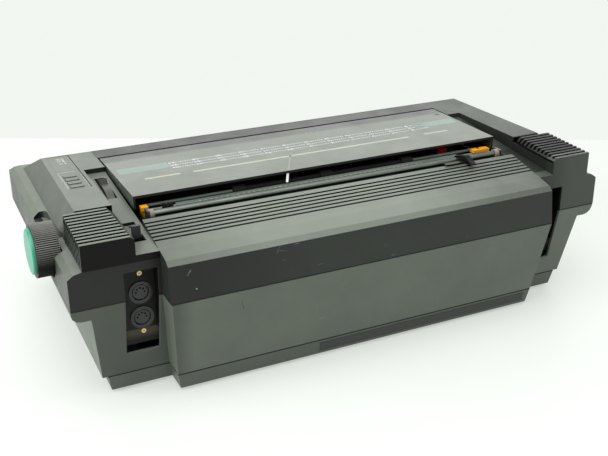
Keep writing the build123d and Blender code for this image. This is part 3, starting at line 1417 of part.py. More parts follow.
with BuildPart() as impression_lever:
    lever_root(impression_x, impression_y, impression_z)
    add(arc_rib.part)
    lean_y = sin(radians(impression_lean))
    lean_z = cos(radians(impression_lean))
    corners = []
    for out, along in ((-lever_plate, -1 / 2), (impression_paddle_rise, -1 / 2),
                       (impression_paddle_rise, 1 / 2), (-lever_plate, 1 / 2)):
        radius = lever_drop + out
        run = impression_paddle * along
        corners.append((impression_y - radius * lean_y + run * lean_z,
                        impression_z + radius * lean_z + run * lean_y))
    prism_x(corners, impression_x - impression_half, impression_x + impression_half)
write(impression_lever.part, "impression_lever")

release_x, release_half = lever_pockets[1][0], lever_pockets[1][-1] - pocket_gap
release_y, release_z = pivots[1]
plate_high = release_z + lever_drop + release_rise
with BuildPart() as release_lever:
    lever_root(release_x, release_y, release_z)
    block(release_x - release_half, release_x + release_half, release_y - release_plate / 2,
          release_y + release_plate / 2, plate_high - lever_plate, plate_high)
    block(release_x - release_tab_width / 2, release_x + release_tab_width / 2,
          release_y + release_plate / 2 - release_tab_thick, release_y + release_plate / 2,
          plate_high - lever_plate, plate_high + release_tab_height)
    rod_z(release_x, release_y - release_plate / 2 + release_hole_back, release_hole_radius,
          plate_high - 2 * lever_plate, plate_high + overrun, mode=Mode.SUBTRACT)
write(release_lever.part, "release_lever")

# Studs on the side frames: both levers', the idler's and the bail's
with BuildPart() as frame_studs:
    for (x, y0, y1, half), (pivot_y, pivot_z) in zip(lever_pockets, pivots):
        rod_x(pivot_y, pivot_z, lever_pin, frame_x_right, x + lever_blade)
        rod_x(pivot_y, pivot_z, lever_pin + overrun, frame_x_right, x - lever_blade / 2 - fit_gap)
    rod_x(idler_y, idler_z, stud_radius, gear_x0 - fit_gap, frame_x_left)
    rod_x(idler_y, idler_z, stud_radius + overrun, gear_x0 - fit_gap - bush_flange_thick, gear_x0 - fit_gap)
    for side in (1, -1):
        x0 = cx + side * (box_half - frame_inset - frame_thick)
        x1 = cx + side * (arm_in - touch)
        rod_x(bail_pivot_y, bail_pivot_z, bail_pin_radius, min(x0, x1), max(x0, x1))
write(frame_studs.part, "frame_studs")

# Electrics on the base tray
with BuildPart() as main_board:
    block(cx - board_width / 2, cx + board_width / 2, board_y0, board_y1, board_z, board_z + board_thick)
    for i in range(chip_count):
        x = cx + board_width * ((i + 1 / 2) / chip_count - 1 / 2)
        y = (board_y0 + board_y1) / 2 + (board_y1 - board_y0) / 4 * (-1) ** i
        long = chip_length * (1 + (i % 3) / 3)
        block(x - long / 2, x + long / 2, y - chip_depth / 2, y + chip_depth / 2, board_z + board_thick,
              board_z + board_thick + chip_height)
write(main_board.part, "main_board")

with BuildPart() as transformer:
    x0 = cx - box_half + transformer_inset
    y1 = y_ear - panel_lean - transformer_rear_gap
    x1 = x0 + transformer_width
    y0 = y1 - transformer_depth
    block(x0, x1, y0, y1, floor_z, floor_z + transformer_height / 2)
    block(x0 + transformer_depth / 4, x1 - transformer_depth / 4, y0 + transformer_depth / 8,
          y1 - transformer_depth / 8, floor_z + transformer_height / 2, floor_z + transformer_height)
write(transformer.part, "transformer")
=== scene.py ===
import math
import bpy
import bmesh
from mathutils import Matrix, Vector


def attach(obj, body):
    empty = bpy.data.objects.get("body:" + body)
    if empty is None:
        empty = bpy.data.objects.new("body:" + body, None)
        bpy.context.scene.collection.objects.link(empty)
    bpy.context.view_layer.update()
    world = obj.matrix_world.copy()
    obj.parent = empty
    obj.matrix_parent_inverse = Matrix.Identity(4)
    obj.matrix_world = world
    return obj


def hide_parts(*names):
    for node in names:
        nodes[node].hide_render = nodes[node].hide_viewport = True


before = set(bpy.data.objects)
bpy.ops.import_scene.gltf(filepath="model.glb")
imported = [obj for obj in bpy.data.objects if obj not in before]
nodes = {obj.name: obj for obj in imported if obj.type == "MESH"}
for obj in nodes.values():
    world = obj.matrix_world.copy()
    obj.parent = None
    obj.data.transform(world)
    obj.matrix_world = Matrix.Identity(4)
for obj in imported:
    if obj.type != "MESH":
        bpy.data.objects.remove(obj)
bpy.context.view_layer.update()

CX = -0.0105                 # rear box's centre line, metres
BOX_HALF = 0.185             # half the rear box's width
SEAM_Z = 0.09085             # upper housing to lower shell
BASE_SEAM_Z = 0.01785        # lower shell to base tray
PRINT_Z = 148.03             # prints on the lid and the panel, millimetres
TICK_Z = 135.93              # ticks on the paper bail, millimetres

# Colours that several looks share
# the dust colour, also used for painted sheen and painted highlight
DUST_AND_SHEEN_TONE = (0.26, 0.295, 0.245)
PALE_MARK = (0.4, 0.42, 0.38)
RUBBED = (0.24, 0.25, 0.22)

# Camera and room, in metres
AZIMUTH = math.radians(25.57)
ELEVATION = math.radians(23.16)
ROLL = math.radians(-0.35)
CAMERA_PLACE = (0.3697, 0.7968, 0.4415)
FOCAL_PIXELS = 966.11
PICTURE_PIXELS = 608
SENSOR = 36                  # millimetres
WALL_AWAY = 1.367            # floor's far edge, measured from below the camera
WALL_TURN = 0.176            # that edge's slant
FLOOR_REACH = 6              # to each side
FLOOR_DEPTH = 8              # from the far edge towards the camera and past it


def make_camera():
    """Camera at the photograph's place"""
    look = Vector((-math.sin(AZIMUTH) * math.cos(ELEVATION), -math.cos(AZIMUTH) * math.cos(ELEVATION),
                   -math.sin(ELEVATION)))
    right = look.cross(Vector((0, 0, 1))).normalized()
    up = right.cross(look)
    right_rolled = math.cos(ROLL) * right + math.sin(ROLL) * up
    up_rolled = -math.sin(ROLL) * right + math.cos(ROLL) * up
    data = bpy.data.cameras.new("camera")
    data.sensor_width = SENSOR
    data.lens = FOCAL_PIXELS * SENSOR / PICTURE_PIXELS
    data.clip_start = 0.01
    data.clip_end = 50
    camera = bpy.data.objects.new("camera", data)
    rotation = Matrix((right_rolled, up_rolled, -look)).transposed()
    camera.matrix_world = Matrix.Translation(CAMERA_PLACE) @ rotation.to_4x4()
    bpy.context.scene.collection.objects.link(camera)
    bpy.context.scene.camera = camera


# Materials
class Tree:
    """Short way to build one node tree"""

    def __init__(self, tree):
        self.tree = tree
        self.dull = None
        tree.nodes.clear()

    def add(self, kind, **values):
        node = self.tree.nodes.new(kind)
        for key, value in values.items():
            setattr(node, key, value)
        return node

    def link(self, source, target):
        self.tree.links.new(source, target)

    def place(self, scale=(1, 1, 1), rotation=(0, 0, 0)):
        """Object coordinates, in metres, stretched and turned"""
        coords = self.add("ShaderNodeTexCoord")
        mapping = self.add("ShaderNodeMapping")
        mapping.inputs["Scale"].default_value = scale
        mapping.inputs["Rotation"].default_value = rotation
        self.link(coords.outputs["Object"], mapping.inputs["Vector"])
        return mapping.outputs["Vector"]

    def noise(self, vector, scale, detail=3.0, roughness=0.5):
        node = self.add("ShaderNodeTexNoise")
        node.inputs["Scale"].default_value = scale
        node.inputs["Detail"].default_value = detail
        node.inputs["Roughness"].default_value = roughness
        self.link(vector, node.inputs["Vector"])
        return node.outputs["Fac"]

    def ramp(self, value, low, high, out_low=0.0, out_high=1.0):
        """Value carried from the range low..high to another, held at its ends"""
        node = self.add("ShaderNodeMapRange")
        node.clamp = True
        node.inputs["From Min"].default_value = low
        node.inputs["From Max"].default_value = high
        node.inputs["To Min"].default_value = out_low
        node.inputs["To Max"].default_value = out_high
        self.link(value, node.inputs["Value"])
        return node.outputs["Result"]

    def math(self, operation, a, b=None):
        """One sum on numbers or sockets"""
        node = self.add("ShaderNodeMath", operation=operation)
        for i, value in enumerate((a, b)):
            if value is None:
                continue
            if isinstance(value, (int, float)):
                node.inputs[i].default_value = value
            else:
                self.link(value, node.inputs[i])
        return node.outputs[0]

    def mix(self, factor, a, b):
        """Two colours mixed: factor 0 gives the first, 1 the second"""
        node = self.add("ShaderNodeMix", data_type="RGBA")
        for key, value in (("Factor", factor), ("A", a), ("B", b)):
            socket = [s for s in node.inputs if s.name == key and s.enabled][0]
            if isinstance(value, tuple):
                socket.default_value = (*value, 1)
            else:
                self.link(value, socket)
        return [s for s in node.outputs if s.enabled][0]

    def bump(self, height, strength):
        """Fine relief, as a direction for the shader"""
        node = self.add("ShaderNodeBump")
        node.inputs["Strength"].default_value = strength
        node.inputs["Distance"].default_value = 0.0002
        self.link(height, node.inputs["Height"])
        return node.outputs["Normal"]

    def axes(self):
        """The three object coordinates, in metres"""
        coords = self.add("ShaderNodeTexCoord")
        split = self.add("ShaderNodeSeparateXYZ")
        self.link(coords.outputs["Object"], split.inputs[0])
        return split.outputs

    def facing(self):
        """The three parts of the surface's direction"""
        geometry = self.add("ShaderNodeNewGeometry")
        split = self.add("ShaderNodeSeparateXYZ")
        self.link(geometry.outputs["Normal"], split.inputs[0])
        return split.outputs

    def between(self, value, low, high):
        """1 where the value lies in the range, otherwise 0"""
        above = self.math("GREATER_THAN", value, low)
        return self.math("MULTIPLY", above, self.math("LESS_THAN", value, high))

    def near(self, value, centre, inner, outer, most=1.0):
        """The most within the inner distance of the centre, fading to 0 at the outer one"""
        away = self.math("ABSOLUTE", self.math("SUBTRACT", value, centre))
        return self.ramp(away, inner, outer, most, 0.0)

    def either_ray(self):
        """1 for what the camera sees, itself or in a reflection or through glass"""
        path = self.add("ShaderNodeLightPath")
        return self.math("MAXIMUM", path.outputs["Is Camera Ray"], self.math(
            "MAXIMUM", path.outputs["Is Glossy Ray"], path.outputs["Is Transmission Ray"]))

    def finish(self, shader):
        output = self.add("ShaderNodeOutputMaterial")
        self.link(shader.outputs[0], output.inputs["Surface"])


def new_material(name):
    material = bpy.data.materials.new(name)
    material.use_nodes = True
    return material, Tree(material.node_tree)


def plastic(name, colour, roughness=0.5, grain=1400, grain_strength=0.2, mottle=0.12, dust=0.25, scratch=0.3,
            specular=0.5, dust_and_sheen_colour=(0.30, 0.31, 0.28), sheen_and_dust_layer=0.0, shade=None):
    """Moulded plastic with a fine grain, cloudy handling marks, dust and painted sheen on faces that look
    up, and hairline scratches
    """
    material, t = new_material(name)
    shader = t.add("ShaderNodeBsdfPrincipled")
    plain = t.place()
    cloud = t.ramp(t.noise(plain, 14, 5, 0.6), 0.3, 0.7)
    dark = tuple(c * (1 - mottle) for c in colour)
    light = tuple(c * (1 + mottle) for c in colour)
    base = t.mix(cloud, dark, light)
    # dust and an even layer of painted sheen lie on faces that look up and make them lighter
    upward = t.ramp(t.facing()["Z"], 0.2, 0.95)
    dust_and_sheen_patches = t.ramp(t.noise(plain, 55, 6, 0.7), 0.42, 0.75, sheen_and_dust_layer, sheen_and_dust_layer + dust)
    base = t.mix(t.math("MULTIPLY", upward, dust_and_sheen_patches), base, dust_and_sheen_colour)
    # hairline scratches in two directions
    streaks = None
    for scale, turn in (((2600, 60, 60), (0.1, 0.2, 0.7)), ((60, 2200, 60), (0.2, 0.1, -0.4))):
        line = t.ramp(t.noise(t.place(scale, turn), 1.0, 1, 0.4), 0.74, 0.80)
        gate = t.ramp(t.noise(plain, 9, 2, 0.5), 0.55, 0.65)
        line = t.math("MULTIPLY", line, gate)
        streaks = line if streaks is None else t.math("MAXIMUM", streaks, line)
    specks = t.add("ShaderNodeTexVoronoi", feature="F1")
    specks.inputs["Scale"].default_value = 75
    t.link(plain, specks.inputs["Vector"])
    dot = t.ramp(specks.outputs["Distance"], 0.03, 0.06, 1, 0)
    marks = t.math("MULTIPLY", t.math("MAXIMUM", streaks, t.math("MULTIPLY", dot, 0.6)), scratch)
    base = t.mix(marks, base, (0.42, 0.42, 0.38))
    if shade:
        base = shade(t, base)
    t.link(base, shader.inputs["Base Color"])
    rough = t.ramp(t.noise(plain, 30, 4, 0.6), 0.3, 0.7, roughness - 0.06, roughness + 0.08)
    t.link(rough, shader.inputs["Roughness"])
    shader.inputs["Specular IOR Level"].default_value = specular
    if t.dull is not None:
        t.link(t.ramp(t.dull, 0, 1, specular, 0.02), shader.inputs["Specular IOR Level"])
    fine = t.noise(plain, grain, 2, 0.6)
    t.link(t.bump(fine, grain_strength), shader.inputs["Normal"])
    t.finish(shader)
    return material


def metal(name, colour, roughness=0.3, brushed=(1, 1, 1), dirt=0.2, metallic=1.0):
    """Metal with drawn lines along one axis and a little grime"""
    material, t = new_material(name)
    shader = t.add("ShaderNodeBsdfPrincipled")
    plain = t.place()
    lines = t.noise(t.place(brushed), 40, 4, 0.7)
    grime = t.ramp(t.noise(plain, 35, 5, 0.65), 0.45, 0.75)
    dark = tuple(c * 0.86 for c in colour)
    light = tuple(min(1, c * 1.1) for c in colour)
    base = t.mix(t.ramp(lines, 0.3, 0.7), dark, light)
    base = t.mix(t.math("MULTIPLY", grime, dirt), base, (0.06, 0.055, 0.045))
    t.link(base, shader.inputs["Base Color"])
    shader.inputs["Metallic"].default_value = metallic
    t.link(t.ramp(lines, 0.3, 0.7, roughness - 0.08, roughness + 0.1), shader.inputs["Roughness"])
    t.link(t.bump(lines, 0.12), shader.inputs["Normal"])
    t.finish(shader)
    return material


def assign(material, *names):
    for name in names:
        data = nodes[name].data
        data.materials.clear()
        data.materials.append(material)


# Grooves from front to rear: where they start and end, the roof's height there, and how far down their
# painted shade is full
BLOCK_GROOVES = (0.0642, 0.1278, 0.148, 0.1448, 0.0006)
DECK_GROOVES = (0.0870, 0.1150, 0.1377, 0.1294, 0.0004)


def vent_shade(t, base):
    """Painted shade in the depths of the vent blocks' and the deck's grooves"""
    axes = t.axes()
    inside = t.math("GREATER_THAN", t.math("ABSOLUTE", t.facing()["Y"]), 0.5)
    middle = t.math("LESS_THAN", t.math("ABSOLUTE", t.math("SUBTRACT", axes["X"], CX)), BOX_HALF)
    for grooves, place, floor_share in ((BLOCK_GROOVES, t.math("SUBTRACT", 1.0, middle), 6),
                                        (DECK_GROOVES, middle, 3)):
        low, high, top_low, top_high, fade = grooves
        along = t.between(axes["Y"], low, high - fade * 4)
        roof = t.ramp(axes["Y"], low, high, top_low, top_high)
        below = t.math("SUBTRACT", roof, axes["Z"])
        deep = t.ramp(below, fade * 0.4, fade)
        shallow = t.math("LESS_THAN", below, fade * 9)
        groove = t.math("MAXIMUM", inside, t.math("GREATER_THAN", below, fade * floor_share))
        mask = t.math("MULTIPLY", t.math("MULTIPLY", along, place), t.math("MULTIPLY", deep, shallow))
        dark = t.math("MULTIPLY", mask, groove)
        base = t.mix(t.math("MULTIPLY", dark, 0.97), base, (0.003, 0.0035, 0.003))
        t.dull = dark if t.dull is None else t.math("MAXIMUM", t.dull, dark)
    return base


def seams(t, base, *heights):
    """Dark lines where two covers meet"""
    axes = t.axes()
    for height in heights:
        base = t.mix(t.near(axes["Z"], height, 0.0005, 0.0009, 0.95), base, (0.003, 0.003, 0.003))
    return base


# Marks on the rear: x from the centre line, z, length and width in millimetres, turn in degrees,
# strength and colour
SCUFFS = ((168.6, 114.2, 6.5, 1.3, -52, 0.8, (0.22, 0.23, 0.20)),
          (171.5, 124.0, 9.0, 1.0, 20, 0.3, (0.2, 0.2, 0.18)),
          (91.9, 118.3, 6.5, 0.8, -58, 0.6, RUBBED),
          (87.5, 116.6, 8.0, 0.7, 14, 0.6, RUBBED),
          (163.6, 100.1, 1.6, 1.4, 0, 0.9, (0.45, 0.47, 0.42)),
          (124.6, 75.9, 11.0, 1.2, 76, 0.6, (0.02, 0.022, 0.018)),
          (-36.0, 52.0, 1.2, 1.2, 0, 0.8, PALE_MARK),
          (-52.0, 60.0, 1.4, 1.0, 20, 0.7, PALE_MARK),
          (20.0, 32.0, 1.2, 1.0, 0, 0.7, PALE_MARK),
          (-120.0, 84.0, 1.2, 1.2, 0, 0.7, PALE_MARK))


def scuffs(t, base):
    """Rubbed places and scratches on the rear band and panel"""
    axes = t.axes()
    behind = t.math("GREATER_THAN", t.facing()["Y"], 0.7)
    rough = t.ramp(t.noise(t.place(), 700, 3, 0.7), 0.35, 0.6)
    for x, z, length, width, turn, amount, colour in SCUFFS:
        c, d = math.cos(math.radians(turn)), math.sin(math.radians(turn))
        across = t.math("SUBTRACT", axes["X"], CX + x / 1000)
        over = t.math("SUBTRACT", axes["Z"], z / 1000)
        along = t.math("ADD", t.math("MULTIPLY", across, c), t.math("MULTIPLY", over, d))
        aside = t.math("SUBTRACT", t.math("MULTIPLY", over, c), t.math("MULTIPLY", across, d))
        mark = t.math("MULTIPLY", t.ramp(t.math("ABSOLUTE", along), length / 2800, length / 1900, 1.0, 0.0),
                      t.ramp(t.math("ABSOLUTE", aside), width / 4000, width / 1900, 1.0, 0.0))
        mark = t.math("MULTIPLY", t.math("MULTIPLY", mark, rough), behind)
        base = t.mix(t.math("MULTIPLY", mark, amount), base, colour)
    return base


def deck_middle_sheen(t, base, axes, up):
    """Painted sheen: the deck's upward faces are lighter and dust-coloured in the middle"""
    middle = t.near(axes["X"], CX + 0.03, 0.07, 0.17, 0.62)
    middle = t.math("MULTIPLY", middle, t.math("GREATER_THAN", axes["Y"], 0.06))
    return t.mix(t.math("MULTIPLY", middle, t.ramp(up, 0.3, 0.9)), base, DUST_AND_SHEEN_TONE)


def side_light_and_shade(t, base, axes, behind):
    """The right block is made lighter; the left one gets painted shade and less shine"""
    elsewhere = t.math("SUBTRACT", 1.0, behind)
    right_block_lighter = t.ramp(axes["X"], CX + BOX_HALF, CX + BOX_HALF + 0.004, 0.0, 0.16)
    base = t.mix(t.math("MULTIPLY", right_block_lighter, elsewhere), base, DUST_AND_SHEEN_TONE)
    # painted shade on the left block's faces
    left_block_shade = t.ramp(axes["X"], CX - BOX_HALF - 0.001, CX - BOX_HALF, 1.0, 0.0)
    left_block_shade = t.math("MULTIPLY", left_block_shade, elsewhere)
    left_block_shade = t.math("MULTIPLY", left_block_shade, t.ramp(axes["Y"], 0.045, 0.064, 0.68, 0.93))
    left_block_shade = t.math("MULTIPLY", left_block_shade, t.ramp(axes["Y"], 0.1155, 0.118, 1.0, 0.45))
    t.dull = t.math("MULTIPLY", left_block_shade, t.ramp(axes["Y"], 0.060, 0.064, 0.2, 0.8))
    return t.mix(left_block_shade, base, (0.018, 0.021, 0.017))


def rear_light_and_shade(t, base, axes, behind):
    """Painted highlight makes the rear faces greyer at the left, and painted shade makes them darker towards
    the right
    """
    left_rear_highlight = t.math("MULTIPLY", behind, t.ramp(axes["X"], CX - 0.22, CX - 0.19, 0.18, 0.0))
    dark = t.math("MULTIPLY", behind, t.ramp(axes["X"], 0.04, 0.15, 0.0, 0.85))
    return t.mix(dark, t.mix(left_rear_highlight, base, DUST_AND_SHEEN_TONE), (0.006, 0.006, 0.005))


# Room for the platen knob in the housing's side: its two ends in x, y and z
POCKET_X = (CX + 0.2492, CX + 0.2585)
POCKET_Y = (-0.0146, 0.0806)
POCKET_Z = (0.0915, 0.1405)


def knob_pocket_shade(t, base, axes, up):
    """Painted shade on the walls of the pocket round the knob"""
    pocket = t.math("MULTIPLY", t.between(axes["Y"], *POCKET_Y), t.between(axes["Z"], *POCKET_Z))
    pocket = t.math("MULTIPLY", t.between(axes["X"], *POCKET_X), pocket)
    upright = t.math("LESS_THAN", t.math("ABSOLUTE", up), 0.15)
    wall = t.math("MAXIMUM", upright, t.math("GREATER_THAN", up, 0.985))
    return t.mix(t.math("MULTIPLY", t.math("MULTIPLY", pocket, wall), 0.92), base, (0.004, 0.005, 0.005))


def housing_shade(t, base):
    """Dust and painted sheen, painted light and shade on the blocks and rear, painted shade in the grooves
    and the knob's pocket, the seam and wear
    """
    axes = t.axes()
    out = t.facing()
    behind = t.ramp(out["Y"], 0.75, 0.9)
    base = deck_middle_sheen(t, base, axes, out["Z"])
    base = rear_light_and_shade(t, side_light_and_shade(t, base, axes, behind), axes, behind)
    base = seams(t, vent_shade(t, base), SEAM_Z)
    return scuffs(t, knob_pocket_shade(t, base, axes, out["Z"]))


def shell_shade(t, base):
    """Painted shade on the right ear's rear face, and the seams show"""
    behind = t.ramp(t.facing()["Y"], 0.75, 0.9)
    dark = t.math("MULTIPLY", behind, t.ramp(t.axes()["X"], CX + 0.165, CX + 0.18, 0.0, 0.47))
    base = t.mix(dark, base, (0.02, 0.022, 0.018))
    return scuffs(t, seams(t, base, SEAM_Z, BASE_SEAM_Z))


def base_shade(t, base):
    """The seam shows on the base tray too"""
    return seams(t, base, BASE_SEAM_Z)


SOCKET_X = 0.19982           # sockets, from the centre line
SOCKET_HEIGHTS = (0.0898, 0.0674)
SOCKET_RING = (0.0070, 0.0076)
CONTACT_RADIUS = 0.0062


def socket_shade(t, base):
    """Grey ring and dull contact block in each socket"""
    axes = t.axes()
    across = t.math("SUBTRACT", axes["X"], CX + SOCKET_X)
    across_squared = t.math("MULTIPLY", across, across)
    for height in SOCKET_HEIGHTS:
        over = t.math("SUBTRACT", axes["Z"], height)
        radius = t.math("SQRT", t.math("ADD", across_squared, t.math("MULTIPLY", over, over)))
        base = t.mix(t.between(radius, *SOCKET_RING), base, (0.10, 0.105, 0.10))
        contacts = t.math("MULTIPLY", t.math("LESS_THAN", radius, CONTACT_RADIUS), 0.8)
        base = t.mix(contacts, base, (0.018, 0.02, 0.02))
    return base


def fascia_shade(t, base):
    """Dark front edge"""
    edge = t.ramp(t.axes()["Y"], -0.0785, -0.0770, 0.85, 0.0)
    return t.mix(edge, base, (0.008, 0.008, 0.008))


def bay_shade(t, base):
    """Brown metal strip low in the connector bay"""
    axes = t.axes()
    strip = t.math("MULTIPLY", t.ramp(axes["Z"], 0.0475, 0.053), t.math("LESS_THAN", axes["Z"], 0.0572))
    return t.mix(t.math("MULTIPLY", strip, 0.85), base, (0.085, 0.07, 0.05))


def lid_shade(t, base):
    """The smoked lid is darker in a band at its hinge, and has painted shade on its skirts"""
    front = t.ramp(t.axes()["Y"], -0.042, -0.036, 0.8, 0.0)
    base = t.mix(front, base, (0.05, 0.054, 0.05))
    out = t.facing()
    skirt_shade = t.math("MAXIMUM", t.ramp(out["Y"], 0.6, 0.8, 0.0, 0.9), t.ramp(out["X"], 0.6, 0.8, 0.0, 0.6))
    return t.mix(skirt_shade, base, (0.010, 0.012, 0.011))


# Painted sheen: the housing's dark plastic gets a thick light layer on all its upward faces, over its dust
housing = plastic("housing_plastic", (0.025, 0.0295, 0.0235), roughness=0.42, specular=0.35, dust=0.12,
                  sheen_and_dust_layer=0.38, scratch=0.22, dust_and_sheen_colour=DUST_AND_SHEEN_TONE, shade=housing_shade)
# Painted light: the lower shell and base tray are the housing's dark plastic made lighter, standing in for
# the white floor's reflection
shell = plastic("shell_plastic", (0.160, 0.188, 0.152), roughness=0.5, dust=0.1, specular=0.4,
                shade=shell_shade)
base_plastic = plastic("base_plastic", (0.122, 0.143, 0.116), roughness=0.5, dust=0.1, specular=0.4,
                       shade=base_shade)
black = plastic("black_plastic", (0.009, 0.009, 0.009), roughness=0.4, scratch=0.1, specular=0.35)
cap_black = plastic("cap_black", (0.006, 0.006, 0.0058), roughness=0.34, scratch=0.12, specular=0.12)
# Painted light: a light layer on the knob's upward faces, while its lower faces stay dark
knob_black = plastic("knob_black", (0.005, 0.0055, 0.005), roughness=0.4, scratch=0.1, specular=0.22,
                     sheen_and_dust_layer=0.55)
tray_plastic = plastic("tray_plastic", (0.005, 0.0055, 0.004), roughness=0.4, scratch=0.2, specular=0.2,
                       shade=bay_shade)
socket_plastic = plastic("socket_plastic", (0.005, 0.005, 0.006), roughness=0.2, scratch=0.1,
                         grain_strength=0.05, shade=socket_shade)
foot_rubber = plastic("foot_rubber", (0.02, 0.02, 0.02), roughness=0.8, grain=700, scratch=0.05)
fascia_plastic = plastic("fascia_plastic", (0.024, 0.028, 0.025), roughness=0.3, grain_strength=0.05,
                         dust=0.05, specular=0.2, shade=fascia_shade)
lid_plastic = plastic("lid_plastic", (0.155, 0.173, 0.147), roughness=0.3, grain_strength=0.03,
                      specular=0.25, mottle=0.04, dust=0.06, scratch=0.12, shade=lid_shade)
key_plastic = plastic("key_plastic", (0.13, 0.14, 0.128), roughness=0.45)
lamp_plastic = plastic("lamp_plastic", (0.05, 0.008, 0.007), roughness=0.25, scratch=0.1, dust=0.05)
gear_plastic = plastic("gear_plastic", (0.75, 0.74, 0.68), roughness=0.4, scratch=0.1)
lever_plastic = plastic("lever_plastic", (0.05, 0.055, 0.048), roughness=0.45)
release_plastic = plastic("release_plastic", (0.016, 0.018, 0.02), roughness=0.4, sheen_and_dust_layer=0.02, dust=0.05)
bush_plastic = plastic("bush_plastic", (0.28, 0.25, 0.20), roughness=0.5)
orange = plastic("orange_plastic", (1.0, 0.44, 0.02), roughness=0.3, grain_strength=0.05, scratch=0.1,
                 dust=0.05)
red = plastic("red_plastic", (1.0, 0.012, 0.02), roughness=0.3, grain_strength=0.05, scratch=0.1, dust=0.03)
turquoise = plastic("turquoise_plastic", (0.03, 0.33, 0.20), roughness=0.3, grain_strength=0.05,
                    scratch=0.12, dust=0.1)
rubber = plastic("platen_rubber", (0.008, 0.008, 0.009), roughness=0.55, grain=2400, scratch=0.05, dust=0.04,
                 specular=0.2)
roller_rubber = plastic("roller_rubber", (0.008, 0.008, 0.008), roughness=0.7, scratch=0.05, dust=0.03,
                        specular=0.2)
bail_paint = plastic("bail_paint", (0.16, 0.195, 0.172), roughness=0.4, scratch=0.3, dust=0.2)
carriage_plastic = plastic("carriage_plastic", (0.03, 0.03, 0.03), roughness=0.5)
ribbon_plastic = plastic("ribbon_plastic", (0.045, 0.032, 0.024), roughness=0.4, scratch=0.3, dust=0.3)
wheel_plastic = plastic("wheel_plastic", (0.22, 0.19, 0.13), roughness=0.3, grain_strength=0.05)
board_laminate = plastic("board_laminate", (0.03, 0.17, 0.06), roughness=0.4, grain_strength=0.05)
cream = plastic("cream_plastic", (0.62, 0.56, 0.42), roughness=0.4, scratch=0.1, dust=0.1)
white_ink = plastic("white_ink", (0.88, 0.90, 0.88), roughness=0.5, grain_strength=0.05, scratch=0.2,
                    dust=0.15)
tick_ink = plastic("tick_ink", (0.42, 0.45, 0.42), roughness=0.5, grain_strength=0.05, scratch=0.2,
                   dust=0.15)
painted_highlight = plastic("painted_highlight", (0.24, 0.25, 0.225), roughness=0.4, grain_strength=0.05, scratch=0.1,
                    dust=0.1)
teal_ink = plastic("teal_ink", (0.185, 0.26, 0.225), roughness=0.35, grain_strength=0.03, mottle=0.04,
                   scratch=0.1, dust=0.05, specular=0.45)
yellow_ink = plastic("yellow_ink", (0.42, 0.43, 0.33), roughness=0.35, grain_strength=0.03, scratch=0.1,
                     dust=0.1)
steel = metal("ground_steel", (0.15, 0.17, 0.15), 0.34, (1, 60, 60), 0.45)
frame_steel = metal("frame_steel", (0.13, 0.135, 0.125), 0.42, (8, 1, 30), 0.3)
brass = metal("screw_brass", (0.62, 0.48, 0.24), 0.3, (30, 30, 1))
plate_metal = metal("plate_metal", (0.045, 0.05, 0.045), 0.4, (2, 40, 40), 0.3, 0.3)
motor_can = metal("motor_can", (0.3, 0.3, 0.31), 0.4, (30, 1, 1))
coil_wire = metal("coil_wire", (0.5, 0.22, 0.09), 0.4, (1, 260, 1))
laminations = metal("laminations", (0.3, 0.27, 0.22), 0.5, (1, 1, 240))

assign(housing, "upper_housing", "control_panel")
assign(shell, "lower_shell")
assign(base_plastic, "base_tray")
assign(foot_rubber, "feet")
assign(fascia_plastic, "front_fascia")
assign(lid_plastic, "lid")
assign(key_plastic, "key_1", "key_2", "key_3", "key_4")
assign(lamp_plastic, "indicator_lamps")
assign(black, "switch_body", "power_rocker", "carriage_belt")
assign(cap_black, "rear_cap", "paper_guide")
assign(knob_black, "platen_knob")
assign(tray_plastic, "connector_tray_right", "connector_tray_left")
assign(socket_plastic, "din_sockets", "mains_inlet")
assign(plate_metal, "rating_plate")
assign(brass, "screws", "feed_pinion")
assign(frame_steel, "side_frame_right", "side_frame_left", "paper_pan", "pinch_frame")
assign(bush_plastic, "bushes")
assign(steel, "frame_studs", "platen_shaft", "guide_rod", "carriage_rails", "hammer_pin")
assign(rubber, "platen")
assign(turquoise, "knob_cap")
assign(gear_plastic, "platen_gear", "idler_gear", "drive_pulley", "idle_pulley")
assign(motor_can, "feed_motor", "wheel_motor", "carriage_motor")
assign(roller_rubber, "pinch_rollers_front", "pinch_rollers_rear", "bail_rollers")
assign(bail_paint, "bail_bar")
assign(orange, "bail_lever_right", "bail_lever_left")
assign(carriage_plastic, "carriage")
assign(ribbon_plastic, "ribbon_cartridge")
assign(wheel_plastic, "daisy_wheel")
assign(coil_wire, "hammer_unit")
assign(red, "ribbon_lever")
assign(lever_plastic, "impression_lever")
assign(release_plastic, "release_lever")
assign(board_laminate, "main_board")
assign(laminations, "transformer")


# Soft edges: the moulded pieces are drawn again from their own flat faces, with rounded edges
MERGE_WITHIN = 2e-6          # metres
FLAT_BELOW = math.radians(0.6)
SMOOTH_BELOW = math.radians(12)
ROUND_ABOVE = math.radians(14)


